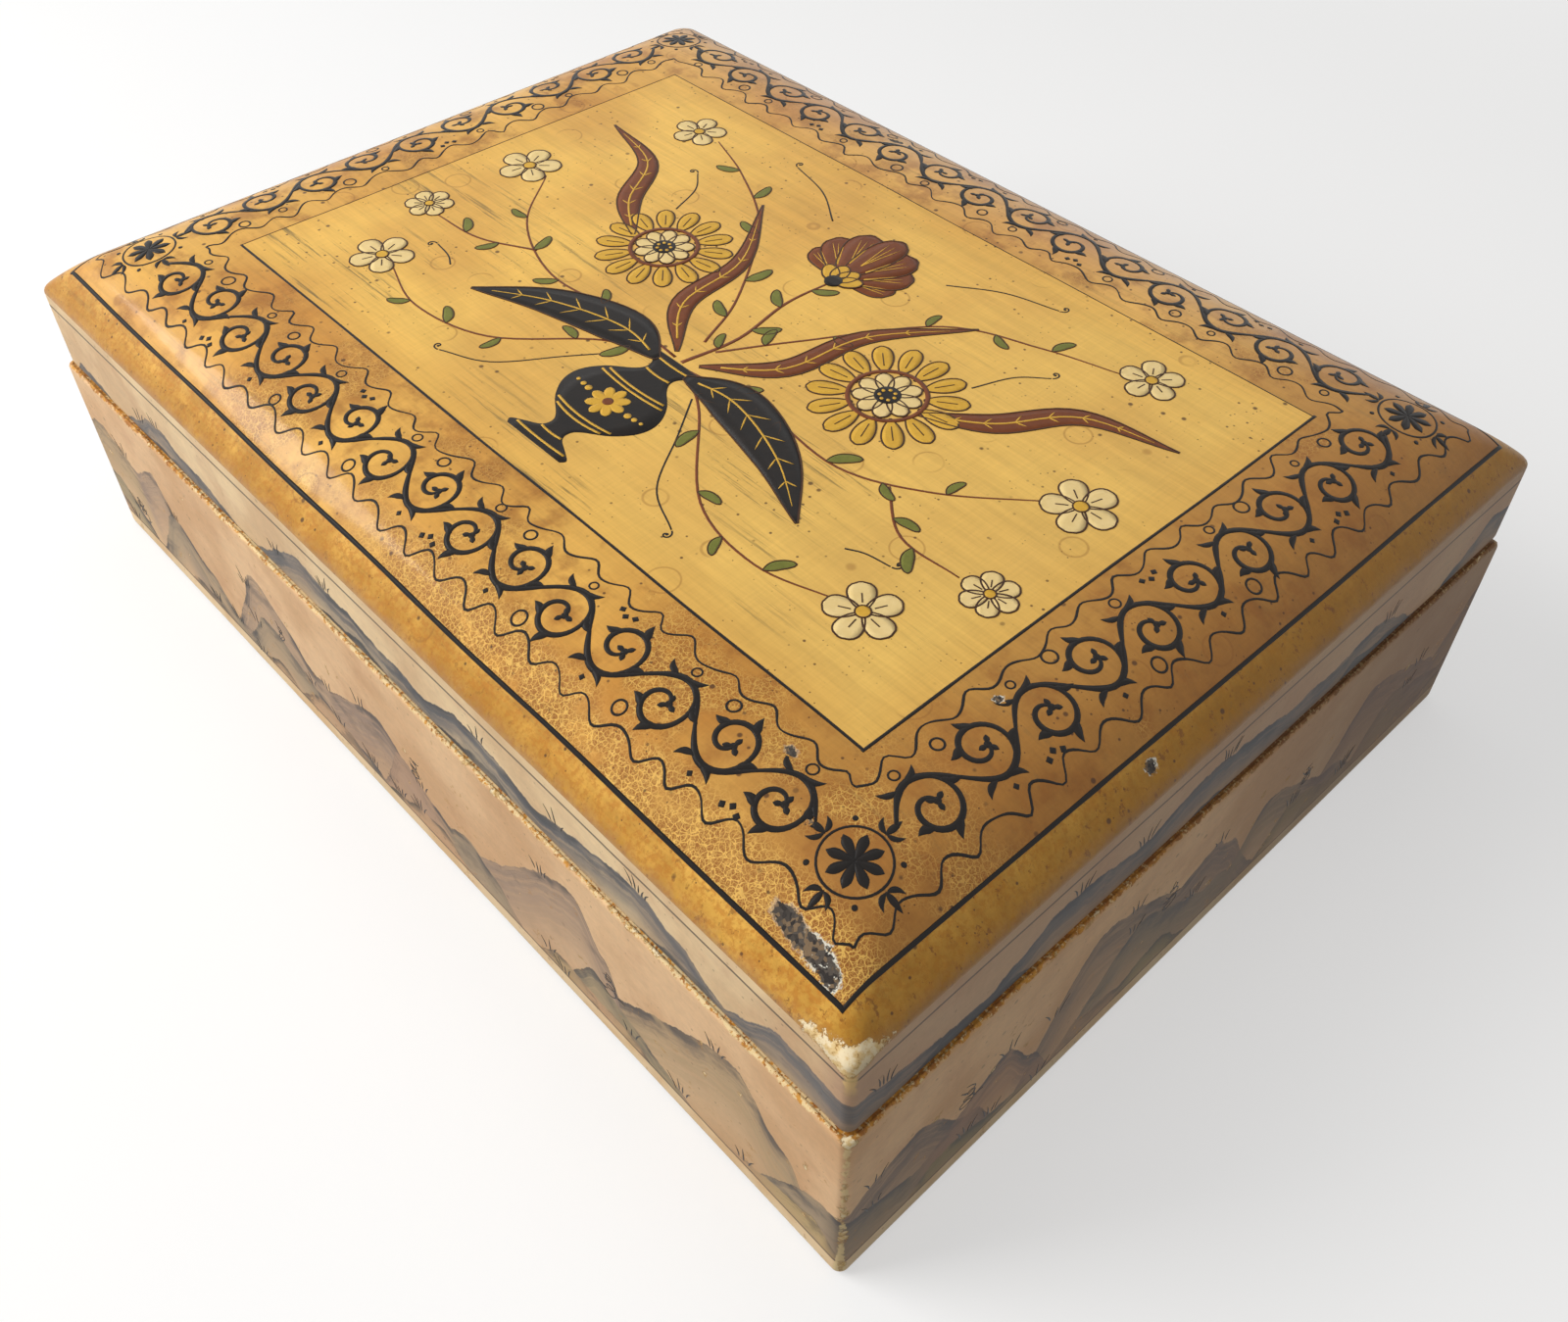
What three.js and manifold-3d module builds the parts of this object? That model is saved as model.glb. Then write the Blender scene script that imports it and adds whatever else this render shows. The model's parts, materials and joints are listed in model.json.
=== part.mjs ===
// A hinged wooden jewelry box, in millimetres. X runs along the long front, Y from the front to the
// back, Z up. The origin is the middle of the underside. Five boards make the base and five make the
// lid: the corners are dovetailed, the bottom is planted on with pegs, and the lid's thick top board
// is worked to a cushion outside and hollowed inside. Two brass butt hinges are let into the back,
// where both arrises are bevelled so that the lid stops just past upright.
import * as THREE from "three";
import { mergeVertices } from "three/addons/utils/BufferGeometryUtils.js";
import Module from "manifold-3d";

// The base, outside
const LENGTH = 300;
const DEPTH = 221;
const RIM_HEIGHT = 58;
const WALL = 11;
const BOTTOM_THICKNESS = 5;

// The lid: its upright side, and the cushion above it
const SEAM_GAP = 0.3;
const LID_SETBACK = 1.2;
const LID_SIDE_HEIGHT = 23.5;
const TOP_BOARD_EDGE = 4;
const CROWN_RISE = 12.5;
const CROWN_WIDTH = 32;
const CROWN_FULLNESS = 2.7;
const CROWN_ARRIS_IN = 0.8;
const CROWN_ARRIS_DOWN = 0.5;
const CROWN_STEPS = 12;
const CROWN_STEP_BIAS = 1.4;
const HIP_SOFTNESS = 0.35;
const TONGUE_DEPTH = 4;
const TONGUE_CLEARANCE = 0.3;
const HOLLOW_INSET = 34;
const HOLLOW_DRAFT = 3;
const HOLLOW_CORNER = 9;
const ROOF_THICKNESS = 9.5;

// Joinery
const GLUE_LINE = 0.2;
const BASE_TAILS = 3;
const LID_TAILS = 1;
const TAIL_SHARE = 0.56;
const TAIL_SLOPE = 1 / 6;
const CORNER_RADIUS = 1.8;
const CORNER_SEGMENTS = 5;
const ARRIS = 0.7;
const FOOT_ARRIS = 1.2;

// Pegs that hold the bottom board to the walls
const PEG_RADIUS = 1.6;
const PEG_LENGTH = 14;
const PEG_RECESS = 0.2;
const PEG_POINT = 1;
const PEG_FROM_END = 45;
const PEG_FROM_SIDE = 62;

// Hinges
const HINGE_FROM_END = 58;
const HINGE_INSET = 2.6;
const LEAF_LENGTH = 38;
const LEAF_REACH = 7.6;
const LEAF_THICKNESS = 1.5;
const LEAF_CORNER = 0.8;
const KNUCKLE_RADIUS = 2.25;
const KNUCKLE_COUNT = 5;
const KNUCKLE_GAP = 0.3;
const KNUCKLE_SEGMENTS = 24;
const PIN_RADIUS = 0.9;
const PIN_CLEARANCE = 0.1;
const PIN_END = 0.6;
const PIN_ROUND = 0.35;
const OPENING_ANGLE = 98;
const STOP_CLEARANCE = 2;

// Screws
const SCREW_FROM_LEAF_END = 6;
const SCREW_LINE = 4.5;
const SCREW_HEAD_RADIUS = 1.9;
const SCREW_HEAD_LAND = 0.2;
const SCREW_SHANK_RADIUS = 0.95;
const SCREW_TIP_RADIUS = 0.35;
const SCREW_LENGTH = 9.5;
const SCREW_POINT = 3;
const SCREW_SLOT_WIDTH = 0.5;
const SCREW_SLOT_DEPTH = 0.45;
const SCREW_SUNK = 0.15;
const SCREW_SEGMENTS = 16;

// How far a cutter, or a solid that is joined to another, runs past a face
const OVERLAP = 1;

// Places that follow from those sizes
const HALF_LENGTH = LENGTH / 2;
const HALF_DEPTH = DEPTH / 2;
const LID_HALF_LENGTH = HALF_LENGTH - LID_SETBACK;
const LID_HALF_DEPTH = HALF_DEPTH - LID_SETBACK;
const WALL_FOOT = BOTTOM_THICKNESS + GLUE_LINE;
const LID_FOOT = RIM_HEIGHT + SEAM_GAP;
const CROWN_FOOT = LID_FOOT + LID_SIDE_HEIGHT;
const RAIL_TOP = CROWN_FOOT - TOP_BOARD_EDGE;
const TOP = CROWN_FOOT + CROWN_RISE;
const AXIS_Y = HALF_DEPTH - HINGE_INSET;
const AXIS_Z = RIM_HEIGHT + SEAM_GAP / 2;
const HINGE_X = HALF_LENGTH - HINGE_FROM_END;
const BEVEL_ANGLE = THREE.MathUtils.degToRad((OPENING_ANGLE + STOP_CLEARANCE) / 2);

const wasm = await Module();
wasm.setup();

// Solids: three.js geometry in, a manifold for joining and cutting, and three.js geometry out again

function solid(geometry) {
  const bare = geometry.clone();
  for (const name of Object.keys(bare.attributes)) {
    if (name !== "position") bare.deleteAttribute(name);
  }
  const merged = mergeVertices(bare, 1e-4);
  return new wasm.Manifold(
    new wasm.Mesh({
      numProp: 3,
      vertProperties: new Float32Array(merged.attributes.position.array),
      triVerts: new Uint32Array(merged.index.array),
    }),
  );
}

function geometryOf(body) {
  const made = body.getMesh();
  const geometry = new THREE.BufferGeometry();
  geometry.setAttribute("position", new THREE.BufferAttribute(made.vertProperties, 3));
  geometry.setIndex(new THREE.BufferAttribute(made.triVerts, 1));
  const faceted = geometry.toNonIndexed();
  faceted.computeVertexNormals();
  return faceted;
}

function join(solids) {
  return solids.reduce((whole, next) => whole.add(next));
}

function cut(whole, cutters) {
  return cutters.reduce((rest, cutter) => rest.subtract(cutter), whole);
}

// A block between two corners
function block([x0, y0, z0], [x1, y1, z1]) {
  const geometry = new THREE.BoxGeometry(x1 - x0, y1 - y0, z1 - z0);
  return solid(geometry.translate((x0 + x1) / 2, (y0 + y1) / 2, (z0 + z1) / 2));
}

// A round bar on the X axis between two places
function bar(radius, x0, x1) {
  const geometry = new THREE.CylinderGeometry(radius, radius, x1 - x0, KNUCKLE_SEGMENTS);
  return solid(geometry.rotateZ(Math.PI / 2).translate((x0 + x1) / 2, 0, 0));
}

// A turned piece about Z from a profile of [radius, height] points, lowest first
function turned(profile, segments) {
  const points = profile.map(([radius, height]) => new THREE.Vector2(radius, height));
  return solid(new THREE.LatheGeometry(points, segments).rotateX(Math.PI / 2));
}

// A prism along X whose section is a polygon in Y and Z
function prismAlongX(section, x0, x1) {
  const shape = new THREE.Shape(section.map(([y, z]) => new THREE.Vector2(y, z)));
  const geometry = new THREE.ExtrudeGeometry(shape, { depth: x1 - x0, bevelEnabled: false });
  const turn = new THREE.Matrix4().makeBasis(
    new THREE.Vector3(0, 1, 0),
    new THREE.Vector3(0, 0, 1),
    new THREE.Vector3(1, 0, 0),
  );
  return solid(geometry.applyMatrix4(turn).translate(x0, 0, 0));
}

// A prism along Y whose section is a polygon in X and Z
function prismAlongY(section, y0, y1) {
  const shape = new THREE.Shape(section.map(([x, z]) => new THREE.Vector2(x, z)));
  const geometry = new THREE.ExtrudeGeometry(shape, { depth: y1 - y0, bevelEnabled: false });
  return solid(geometry.rotateX(Math.PI / 2).translate(0, y1, 0));
}

// The points of a rectangle with round corners, anticlockwise, always the same number of them
function roundedRectangle(halfX, halfY, radius) {
  const points = [];
  for (let corner = 0; corner < 4; corner += 1) {
    const signX = corner === 0 || corner === 3 ? 1 : -1;
    const signY = corner < 2 ? 1 : -1;
    for (let step = 0; step <= CORNER_SEGMENTS; step += 1) {
      const angle = ((corner + step / CORNER_SEGMENTS) * Math.PI) / 2;
      points.push([
        signX * (halfX - radius) + radius * Math.cos(angle),
        signY * (halfY - radius) + radius * Math.sin(angle),
      ]);
    }
  }
  return points;
}

// A closed loft through rounded rectangles stacked upwards
function loft(levels) {
  const rings = levels.map(({ halfX, halfY, radius, z }) =>
    roundedRectangle(halfX, halfY, radius).map(([x, y]) => [x, y, z]),
  );
  const count = rings[0].length;
  const last = rings.length - 1;
  const positions = rings.flat(2);
  positions.push(0, 0, levels[0].z, 0, 0, levels[last].z);
  const footCentre = rings.length * count;
  const index = [];
  for (let i = 0; i < count; i += 1) {
    const next = (i + 1) % count;
    for (let ring = 0; ring < last; ring += 1) {
      const low = ring * count;
      const high = low + count;
      index.push(low + i, low + next, high + next, low + i, high + next, high + i);
    }
    index.push(footCentre, next, i);
    index.push(footCentre + 1, last * count + i, last * count + next);
  }
  const geometry = new THREE.BufferGeometry();
  geometry.setAttribute("position", new THREE.Float32BufferAttribute(positions, 3));
  geometry.setIndex(index);
  return solid(geometry);
}

// A frame of four dovetailed boards. The long boards carry the tails and the short ones the pins.

// The outlines of the tails at one end in X and Z. side is -1 at the left end and 1 at the right;
// grow widens them all round, for the sockets.
function tailSections(endX, foot, height, tails, side, grow) {
  const pitch = height / tails;
  const root = endX - side * WALL;
  return Array.from({ length: tails }, (_, i) => {
    const middle = foot + pitch * (i + 0.5);
    const flare = TAIL_SLOPE * WALL;
    const halfRoot = (TAIL_SHARE * pitch) / 2 - flare / 2 + grow;
    const halfEnd = halfRoot + flare;
    return [
      [root - side * (GLUE_LINE + grow), middle - halfRoot],
      [endX, middle - halfEnd],
      [endX, middle + halfEnd],
      [root - side * (GLUE_LINE + grow), middle + halfRoot],
    ];
  });
}

function dovetailedFrame({ halfX, halfY, foot, height, tails, outline }) {
  const top = foot + height;
  const boards = {};
  for (const [name, side] of [["front", -1], ["back", 1]]) {
    const outer = side * halfY;
    const inner = side * (halfY - WALL);
    const y0 = Math.min(outer, inner);
    const y1 = Math.max(outer, inner);
    const shoulder = halfX - WALL - GLUE_LINE;
    const tailSolids = [-1, 1].flatMap((end) =>
      tailSections(end * halfX, foot, height, tails, end, 0).map((s) => prismAlongY(s, y0, y1)),
    );
    const board = block([-shoulder, y0, foot], [shoulder, y1, top]);
    boards[name] = join([board, ...tailSolids]).intersect(outline);
  }
  for (const [name, side] of [["left", -1], ["right", 1]]) {
    const outer = side * halfX;
    const inner = side * (halfX - WALL);
    const board = block(
      [Math.min(outer, inner), -halfY, foot],
      [Math.max(outer, inner), halfY, top],
    );
    const sockets = [-1, 1].flatMap((end) => {
      const outside = end * (halfY + GLUE_LINE);
      const shoulder = end * (halfY - WALL - GLUE_LINE);
      return tailSections(outer, foot, height, tails, side, GLUE_LINE).map((s) =>
        prismAlongY(s, Math.min(outside, shoulder), Math.max(outside, shoulder)),
      );
    });
    boards[name] = cut(board, sockets).intersect(outline);
  }
  return boards;
}

// What the hinges take out of the back boards, about the hinge axis. side is -1 below the seam and 1
// above it.

function leafMortise(side) {
  const face = (side * SEAM_GAP) / 2;
  const depth = LEAF_THICKNESS + GLUE_LINE;
  const half = LEAF_LENGTH / 2 + GLUE_LINE;
  const far = face + side * depth;
  return block(
    [-half, -LEAF_REACH - GLUE_LINE, Math.min(0, far)],
    [half, 0, Math.max(0, far)],
  );
}

function knuckleGouge() {
  const half = LEAF_LENGTH / 2 + PIN_END + KNUCKLE_GAP;
  return bar(KNUCKLE_RADIUS + KNUCKLE_GAP, -half, half);
}

// The bevel along the whole back arris, whose faces meet when the lid is fully open
function backBevel(side) {
  const reach = HINGE_INSET + OVERLAP;
  const drop = side * reach * Math.tan(BEVEL_ANGLE);
  const section = [
    [0, 0],
    [reach, 0],
    [reach, drop],
  ];
  return prismAlongX(section, -LENGTH, LENGTH);
}

function screwPlaces() {
  return [-1, 0, 1].map((step) => step * (LEAF_LENGTH / 2 - SCREW_FROM_LEAF_END));
}

// A countersunk screw, head up at height 0, and the clearance hole for it
function screwProfile(grow) {
  const cone = SCREW_HEAD_RADIUS - SCREW_SHANK_RADIUS;
  return [
    [0, -SCREW_LENGTH - grow],
    [SCREW_TIP_RADIUS + grow, -SCREW_LENGTH - grow],
    [SCREW_SHANK_RADIUS + grow, -SCREW_LENGTH + SCREW_POINT],
    [SCREW_SHANK_RADIUS + grow, -SCREW_HEAD_LAND - cone - grow / 2],
    [SCREW_HEAD_RADIUS + grow, -SCREW_HEAD_LAND - grow / 2],
    [SCREW_HEAD_RADIUS + grow, grow ? SCREW_SUNK + GLUE_LINE : 0],
    [0, grow ? SCREW_SUNK + GLUE_LINE : 0],
  ];
}

function screwSolid() {
  const body = turned(screwProfile(0), SCREW_SEGMENTS);
  const halfSlot = SCREW_SLOT_WIDTH / 2;
  const reach = SCREW_HEAD_RADIUS + OVERLAP;
  return body.subtract(
    block([-reach, -halfSlot, -SCREW_SLOT_DEPTH], [reach, halfSlot, SCREW_SLOT_DEPTH]),
  );
}

// Screw holes of one leaf, drilled down from the seam below it and up from the seam above it
function screwHoles(side) {
  const hole = turned(screwProfile(GLUE_LINE), SCREW_SEGMENTS);
  const headHeight = (side * SEAM_GAP) / 2 + side * SCREW_SUNK;
  const facing = side < 0 ? hole : hole.rotate([180, 0, 0]);
  return screwPlaces().map((x) => facing.translate([x, -SCREW_LINE, headHeight]));
}

function hingeCutters(side) {
  return [-1, 1].flatMap((end) =>
    [leafMortise(side), knuckleGouge(), ...screwHoles(side)].map((cutter) =>
      cutter.translate([end * HINGE_X, 0, 0]),
    ),
  );
}

// One leaf of a butt hinge about its pin. The base's leaf has the odd knuckles and the lid's leaf
// the even ones.

function knuckleSpan(i) {
  const pitch = (LEAF_LENGTH + KNUCKLE_GAP) / KNUCKLE_COUNT;
  const start = -LEAF_LENGTH / 2 + i * pitch;
  return [start, start + pitch - KNUCKLE_GAP];
}

function hingeLeaf(side) {
  const face = (side * SEAM_GAP) / 2;
  const far = face + side * LEAF_THICKNESS;
  const half = LEAF_LENGTH / 2;
  const plateShape = loft([
    { halfX: half, halfY: LEAF_REACH, radius: LEAF_CORNER, z: Math.min(face, far) },
    { halfX: half, halfY: LEAF_REACH, radius: LEAF_CORNER, z: Math.max(face, far) },
  ]);
  const plate = plateShape.subtract(
    block([-LEAF_LENGTH, 0, -LEAF_LENGTH], [LEAF_LENGTH, LEAF_LENGTH, LEAF_LENGTH]),
  );
  const knuckles = [];
  const neighbours = [];
  for (let i = 0; i < KNUCKLE_COUNT; i += 1) {
    const [start, end] = knuckleSpan(i);
    const own = (i % 2 === 0) === side < 0;
    if (own) knuckles.push(bar(KNUCKLE_RADIUS, start, end));
    else {
      neighbours.push(
        bar(KNUCKLE_RADIUS + KNUCKLE_GAP, start - KNUCKLE_GAP, end + KNUCKLE_GAP),
      );
    }
  }
  const pinHole = bar(PIN_RADIUS + PIN_CLEARANCE, -LEAF_LENGTH, LEAF_LENGTH);
  return cut(join([plate, ...knuckles]), [...neighbours, pinHole, ...screwHoles(side)]);
}

function hingePin() {
  const half = LEAF_LENGTH / 2 + PIN_END;
  const profile = [
    [0, -half],
    [PIN_RADIUS - PIN_ROUND, -half],
    [PIN_RADIUS, -half + PIN_ROUND],
    [PIN_RADIUS, half - PIN_ROUND],
    [PIN_RADIUS - PIN_ROUND, half],
    [0, half],
  ];
  return turned(profile, KNUCKLE_SEGMENTS).rotate([0, 90, 0]);
}

// The base: four walls on a planted bottom, and the pegs through it

function baseWalls() {
  const side = { halfX: HALF_LENGTH, halfY: HALF_DEPTH, radius: CORNER_RADIUS };
  const rim = {
    halfX: HALF_LENGTH - ARRIS,
    halfY: HALF_DEPTH - ARRIS,
    radius: CORNER_RADIUS,
  };
  const outline = loft([
    { ...side, z: 0 },
    { ...side, z: RIM_HEIGHT - ARRIS },
    { ...rim, z: RIM_HEIGHT },
  ]);
  const walls = dovetailedFrame({
    halfX: HALF_LENGTH,
    halfY: HALF_DEPTH,
    foot: WALL_FOOT,
    height: RIM_HEIGHT - WALL_FOOT,
    tails: BASE_TAILS,
    outline,
  });
  const place = [0, AXIS_Y, AXIS_Z];
  const bevel = backBevel(-1).translate(place);
  walls.back = cut(walls.back, [bevel, ...hingeCutters(-1).map((c) => c.translate(place))]);
  for (const name of ["left", "right"]) walls[name] = walls[name].subtract(bevel);
  const holes = pegPlaces().map(([x, y]) => pegSolid(GLUE_LINE).translate([x, y, 0]));
  for (const name of Object.keys(walls)) walls[name] = cut(walls[name], holes);
  return walls;
}

function pegPlaces() {
  const lineX = HALF_LENGTH - WALL / 2;
  const lineY = HALF_DEPTH - WALL / 2;
  const long = [-1, 0, 1].flatMap((step) =>
    [-1, 1].map((side) => [step * (HALF_LENGTH - PEG_FROM_END), side * lineY]),
  );
  const short = [-1, 1].flatMap((step) =>
    [-1, 1].map((side) => [side * lineX, step * (HALF_DEPTH - PEG_FROM_SIDE)]),
  );
  return [...long, ...short];
}

function pegSolid(grow) {
  const foot = grow ? -OVERLAP : PEG_RECESS;
  const head = PEG_RECESS + PEG_LENGTH + grow;
  const radius = PEG_RADIUS + grow;
  const profile = [
    [0, foot],
    [radius, foot],
    [radius, head - PEG_POINT],
    [radius - PEG_POINT / 2, head],
    [0, head],
  ];
  return turned(profile, SCREW_SEGMENTS);
}

function bottomBoard() {
  const side = { halfX: HALF_LENGTH, halfY: HALF_DEPTH, radius: CORNER_RADIUS };
  const board = loft([
    {
      halfX: HALF_LENGTH - FOOT_ARRIS,
      halfY: HALF_DEPTH - FOOT_ARRIS,
      radius: CORNER_RADIUS,
      z: 0,
    },
    { ...side, z: FOOT_ARRIS },
    { ...side, z: BOTTOM_THICKNESS },
  ]);
  return cut(
    board,
    pegPlaces().map(([x, y]) => pegSolid(GLUE_LINE).translate([x, y, 0])),
  );
}

// The lid: four rails under one thick top board

function lidRails() {
  const side = { halfX: LID_HALF_LENGTH, halfY: LID_HALF_DEPTH, radius: CORNER_RADIUS };
  const outline = loft([
    {
      halfX: LID_HALF_LENGTH - ARRIS,
      halfY: LID_HALF_DEPTH - ARRIS,
      radius: CORNER_RADIUS,
      z: LID_FOOT,
    },
    { ...side, z: LID_FOOT + ARRIS },
    { ...side, z: TOP },
  ]);
  const rails = dovetailedFrame({
    halfX: LID_HALF_LENGTH,
    halfY: LID_HALF_DEPTH,
    foot: LID_FOOT,
    height: RAIL_TOP - LID_FOOT,
    tails: LID_TAILS,
    outline,
  });
  const place = [0, AXIS_Y, AXIS_Z];
  const bevel = backBevel(1).translate(place);
  rails.back = cut(rails.back, [bevel, ...hingeCutters(1).map((c) => c.translate(place))]);
  for (const name of ["left", "right"]) rails[name] = rails[name].subtract(bevel);
  return rails;
}

// The cushion: height above its foot at a distance in from the lid's side
function crownHeight(inset) {
  const rest = 1 - inset / CROWN_WIDTH;
  return CROWN_RISE * (1 - rest ** CROWN_FULLNESS);
}

function topBoard() {
  const level = (inset, radius, z) => ({
    halfX: LID_HALF_LENGTH - inset,
    halfY: LID_HALF_DEPTH - inset,
    radius,
    z,
  });
  const seat = RAIL_TOP + GLUE_LINE;
  const crown = Array.from({ length: CROWN_STEPS + 1 }, (_, i) => {
    const share = (i / CROWN_STEPS) ** CROWN_STEP_BIAS;
    const inset = CROWN_ARRIS_IN + (CROWN_WIDTH - CROWN_ARRIS_IN) * share;
    return level(inset, CORNER_RADIUS + HIP_SOFTNESS * inset, CROWN_FOOT + crownHeight(inset));
  });
  const cushion = loft([
    level(0, CORNER_RADIUS, seat),
    level(0, CORNER_RADIUS, CROWN_FOOT - CROWN_ARRIS_DOWN),
    ...crown,
  ]);
  const tongueInset = WALL + TONGUE_CLEARANCE;
  const tongue = loft([
    level(tongueInset, CORNER_RADIUS, seat - TONGUE_DEPTH),
    level(tongueInset, CORNER_RADIUS, seat + OVERLAP),
  ]);
  const hollow = loft([
    level(HOLLOW_INSET, HOLLOW_CORNER, seat - TONGUE_DEPTH - OVERLAP),
    level(HOLLOW_INSET + HOLLOW_DRAFT, HOLLOW_CORNER, TOP - ROOF_THICKNESS),
  ]);
  return cushion.add(tongue).subtract(hollow);
}

// Materials

function paint(colour, roughness, metalness = 0) {
  return new THREE.MeshStandardMaterial({ color: colour, roughness, metalness });
}

const goldLacquer = paint(0xd9a441, 0.35);
const paintedWall = paint(0xb58a60, 0.45);
const paintedRail = paint(0xc9a57c, 0.45);
const bareWood = paint(0x9a6b3c, 0.75);
const pegWood = paint(0x6d4a28, 0.8);
const brass = paint(0xb5903f, 0.35, 1);
const pinBrass = paint(0xa8853a, 0.3, 1);
const screwBrass = paint(0xc09a4a, 0.4, 1);

function piece(name, body, material) {
  const mesh = new THREE.Mesh(geometryOf(body), material);
  mesh.name = name;
  return mesh;
}

// Assembly: the lid hangs in a group whose origin is the hinge axis, so turning that group about X
// opens it

function buildBase() {
  const base = new THREE.Group();
  const walls = baseWalls();
  for (const [name, body] of Object.entries(walls)) {
    base.add(piece(`base_${name}_wall`, body, paintedWall));
  }
  base.add(piece("base_bottom_board", bottomBoard(), bareWood));
  const peg = pegSolid(0);
  pegPlaces().forEach(([x, y], i) => {
    const mesh = piece(`bottom_peg_${i + 1}`, peg, pegWood);
    mesh.position.set(x, y, 0);
    base.add(mesh);
  });
  return base;
}

function buildLid() {
  const lid = new THREE.Group();
  lid.position.set(0, AXIS_Y, AXIS_Z);
  const toAxis = [0, -AXIS_Y, -AXIS_Z];
  for (const [name, body] of Object.entries(lidRails())) {
    lid.add(piece(`lid_${name}_rail`, body.translate(toAxis), paintedRail));
  }
  lid.add(piece("lid_top_board", topBoard().translate(toAxis), goldLacquer));
  return lid;
}

// One leaf with its three screws
function leafWithScrews(hinge, owner, side) {
  const group = new THREE.Group();
  group.add(piece(`${hinge}_${owner}_leaf`, hingeLeaf(side), brass));
  const screw = screwSolid();
  const facing = side < 0 ? screw : screw.rotate([180, 0, 0]);
  screwPlaces().forEach((x, i) => {
    const mesh = piece(`${hinge}_${owner}_screw_${i + 1}`, facing, screwBrass);
    mesh.position.set(x, -SCREW_LINE, (side * SEAM_GAP) / 2 + side * SCREW_SUNK);
    group.add(mesh);
  });
  return group;
}

const box = new THREE.Group();
const base = buildBase();
const lid = buildLid();
box.add(base, lid);
for (const [hinge, end] of [["left_hinge", -1], ["right_hinge", 1]]) {
  const below = leafWithScrews(hinge, "base", -1);
  below.add(piece(`${hinge}_pin`, hingePin(), pinBrass));
  below.position.set(end * HINGE_X, AXIS_Y, AXIS_Z);
  base.add(below);
  const above = leafWithScrews(hinge, "lid", 1);
  above.position.set(end * HINGE_X, 0, 0);
  lid.add(above);
}

export default box;
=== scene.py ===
"""The looks of a painted and lacquered wooden jewelry box, around its packed boards and hinges.

Lengths are in millimetres, and become metres where an object is made. X runs along the long front, Y to
the hinged back, Z up, and the origin is the middle of the underside.
"""
import json
from math import atan2, cos, hypot, pi, radians, sin, tan
import bmesh
import bpy
import numpy as np
from mathutils import Matrix, Vector


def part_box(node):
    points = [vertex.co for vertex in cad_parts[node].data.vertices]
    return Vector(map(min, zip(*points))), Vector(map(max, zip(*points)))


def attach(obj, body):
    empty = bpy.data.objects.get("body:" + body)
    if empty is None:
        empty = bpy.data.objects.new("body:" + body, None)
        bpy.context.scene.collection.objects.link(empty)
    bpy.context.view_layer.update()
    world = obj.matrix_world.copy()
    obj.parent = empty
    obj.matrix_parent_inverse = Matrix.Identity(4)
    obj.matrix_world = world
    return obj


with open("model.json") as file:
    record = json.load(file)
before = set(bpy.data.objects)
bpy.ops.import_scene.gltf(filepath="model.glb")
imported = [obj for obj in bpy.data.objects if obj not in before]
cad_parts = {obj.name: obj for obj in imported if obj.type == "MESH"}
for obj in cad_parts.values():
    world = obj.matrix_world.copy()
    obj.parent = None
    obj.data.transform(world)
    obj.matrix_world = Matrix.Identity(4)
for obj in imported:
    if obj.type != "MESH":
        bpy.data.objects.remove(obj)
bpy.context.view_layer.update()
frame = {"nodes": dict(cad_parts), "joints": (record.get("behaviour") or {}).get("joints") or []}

MM = 0.001
IMAGE_SIZE = (1600, 1349)


# Sizes, from the frame where it has them

HINGE = Vector(frame["joints"][0]["pos_m"]) / MM
BASE_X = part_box("base_right_wall")[1].x / MM
BASE_Y = -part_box("base_front_wall")[0].y / MM
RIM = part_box("base_front_wall")[1].z / MM
LID_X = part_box("lid_top_board")[1].x / MM
LID_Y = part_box("lid_top_board")[1].y / MM
LID_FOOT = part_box("lid_front_rail")[0].z / MM
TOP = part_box("lid_top_board")[1].z / MM

CROWN_RISE = 12.5
CROWN_WIDTH = 32
CROWN_FULLNESS = 2.7
CROWN_FOOT = TOP - CROWN_RISE
BOARD_CORNER = 1.8
HIP_SOFTNESS = 0.35
BEVEL_SLOPE = tan(radians(50))
BEVEL_GAP = 0.14

# The coat of gesso, paint and lacquer on the boards
COAT = 0.35
COAT_BACKING = 0.04
WORN_DEPTH = 0.1
CHIP_DEPTH = 0.24
BASE_HALF = np.array([BASE_X, BASE_Y]) + COAT
LID_HALF = np.array([LID_X, LID_Y]) + COAT
CORNER = BOARD_CORNER + COAT
ARRIS = 1.1

# Corners of the painted outer line and of the panel, anticlockwise from the left end of the front. Drawn by
# hand, they aren't quite square to the lid
OUTER_LINE = np.array([(-140.2, -103.3), (141.9, -104.8), (143.4, 102.0), (-141.0, 102.6)])
PANEL = np.array([(-110.9, -69.6), (111.3, -70.0), (113.0, 70.4), (-108.0, 70.1)])


# Smooth noise and directions

def noise(u, v, cell, seed):
    """Noise from -1 to 1: random heights on a square lattice, blended over each cell by 3t^2 - 2t^3."""
    size = 64
    table = np.random.default_rng(seed).uniform(-1, 1, (size, size))
    x, y = np.broadcast_arrays(np.asarray(u) / cell, np.asarray(v) / cell)
    i, j = np.floor(x).astype(int), np.floor(y).astype(int)
    a, b = (t * t * (3 - 2 * t) for t in (x - i, y - j))
    i, right = i % size, (i + 1) % size
    low, high = (table[i, k % size] * (1 - a) + table[right, k % size] * a for k in (j, j + 1))
    return low * (1 - b) + high * b


def rough_noise(u, v, cell, seed):
    """Three octaves of the noise above, each half the size and half the height of the last."""
    return sum(noise(u, v, cell / 2 ** k, seed + k) / 2 ** k for k in range(3)) / 1.75


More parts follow.
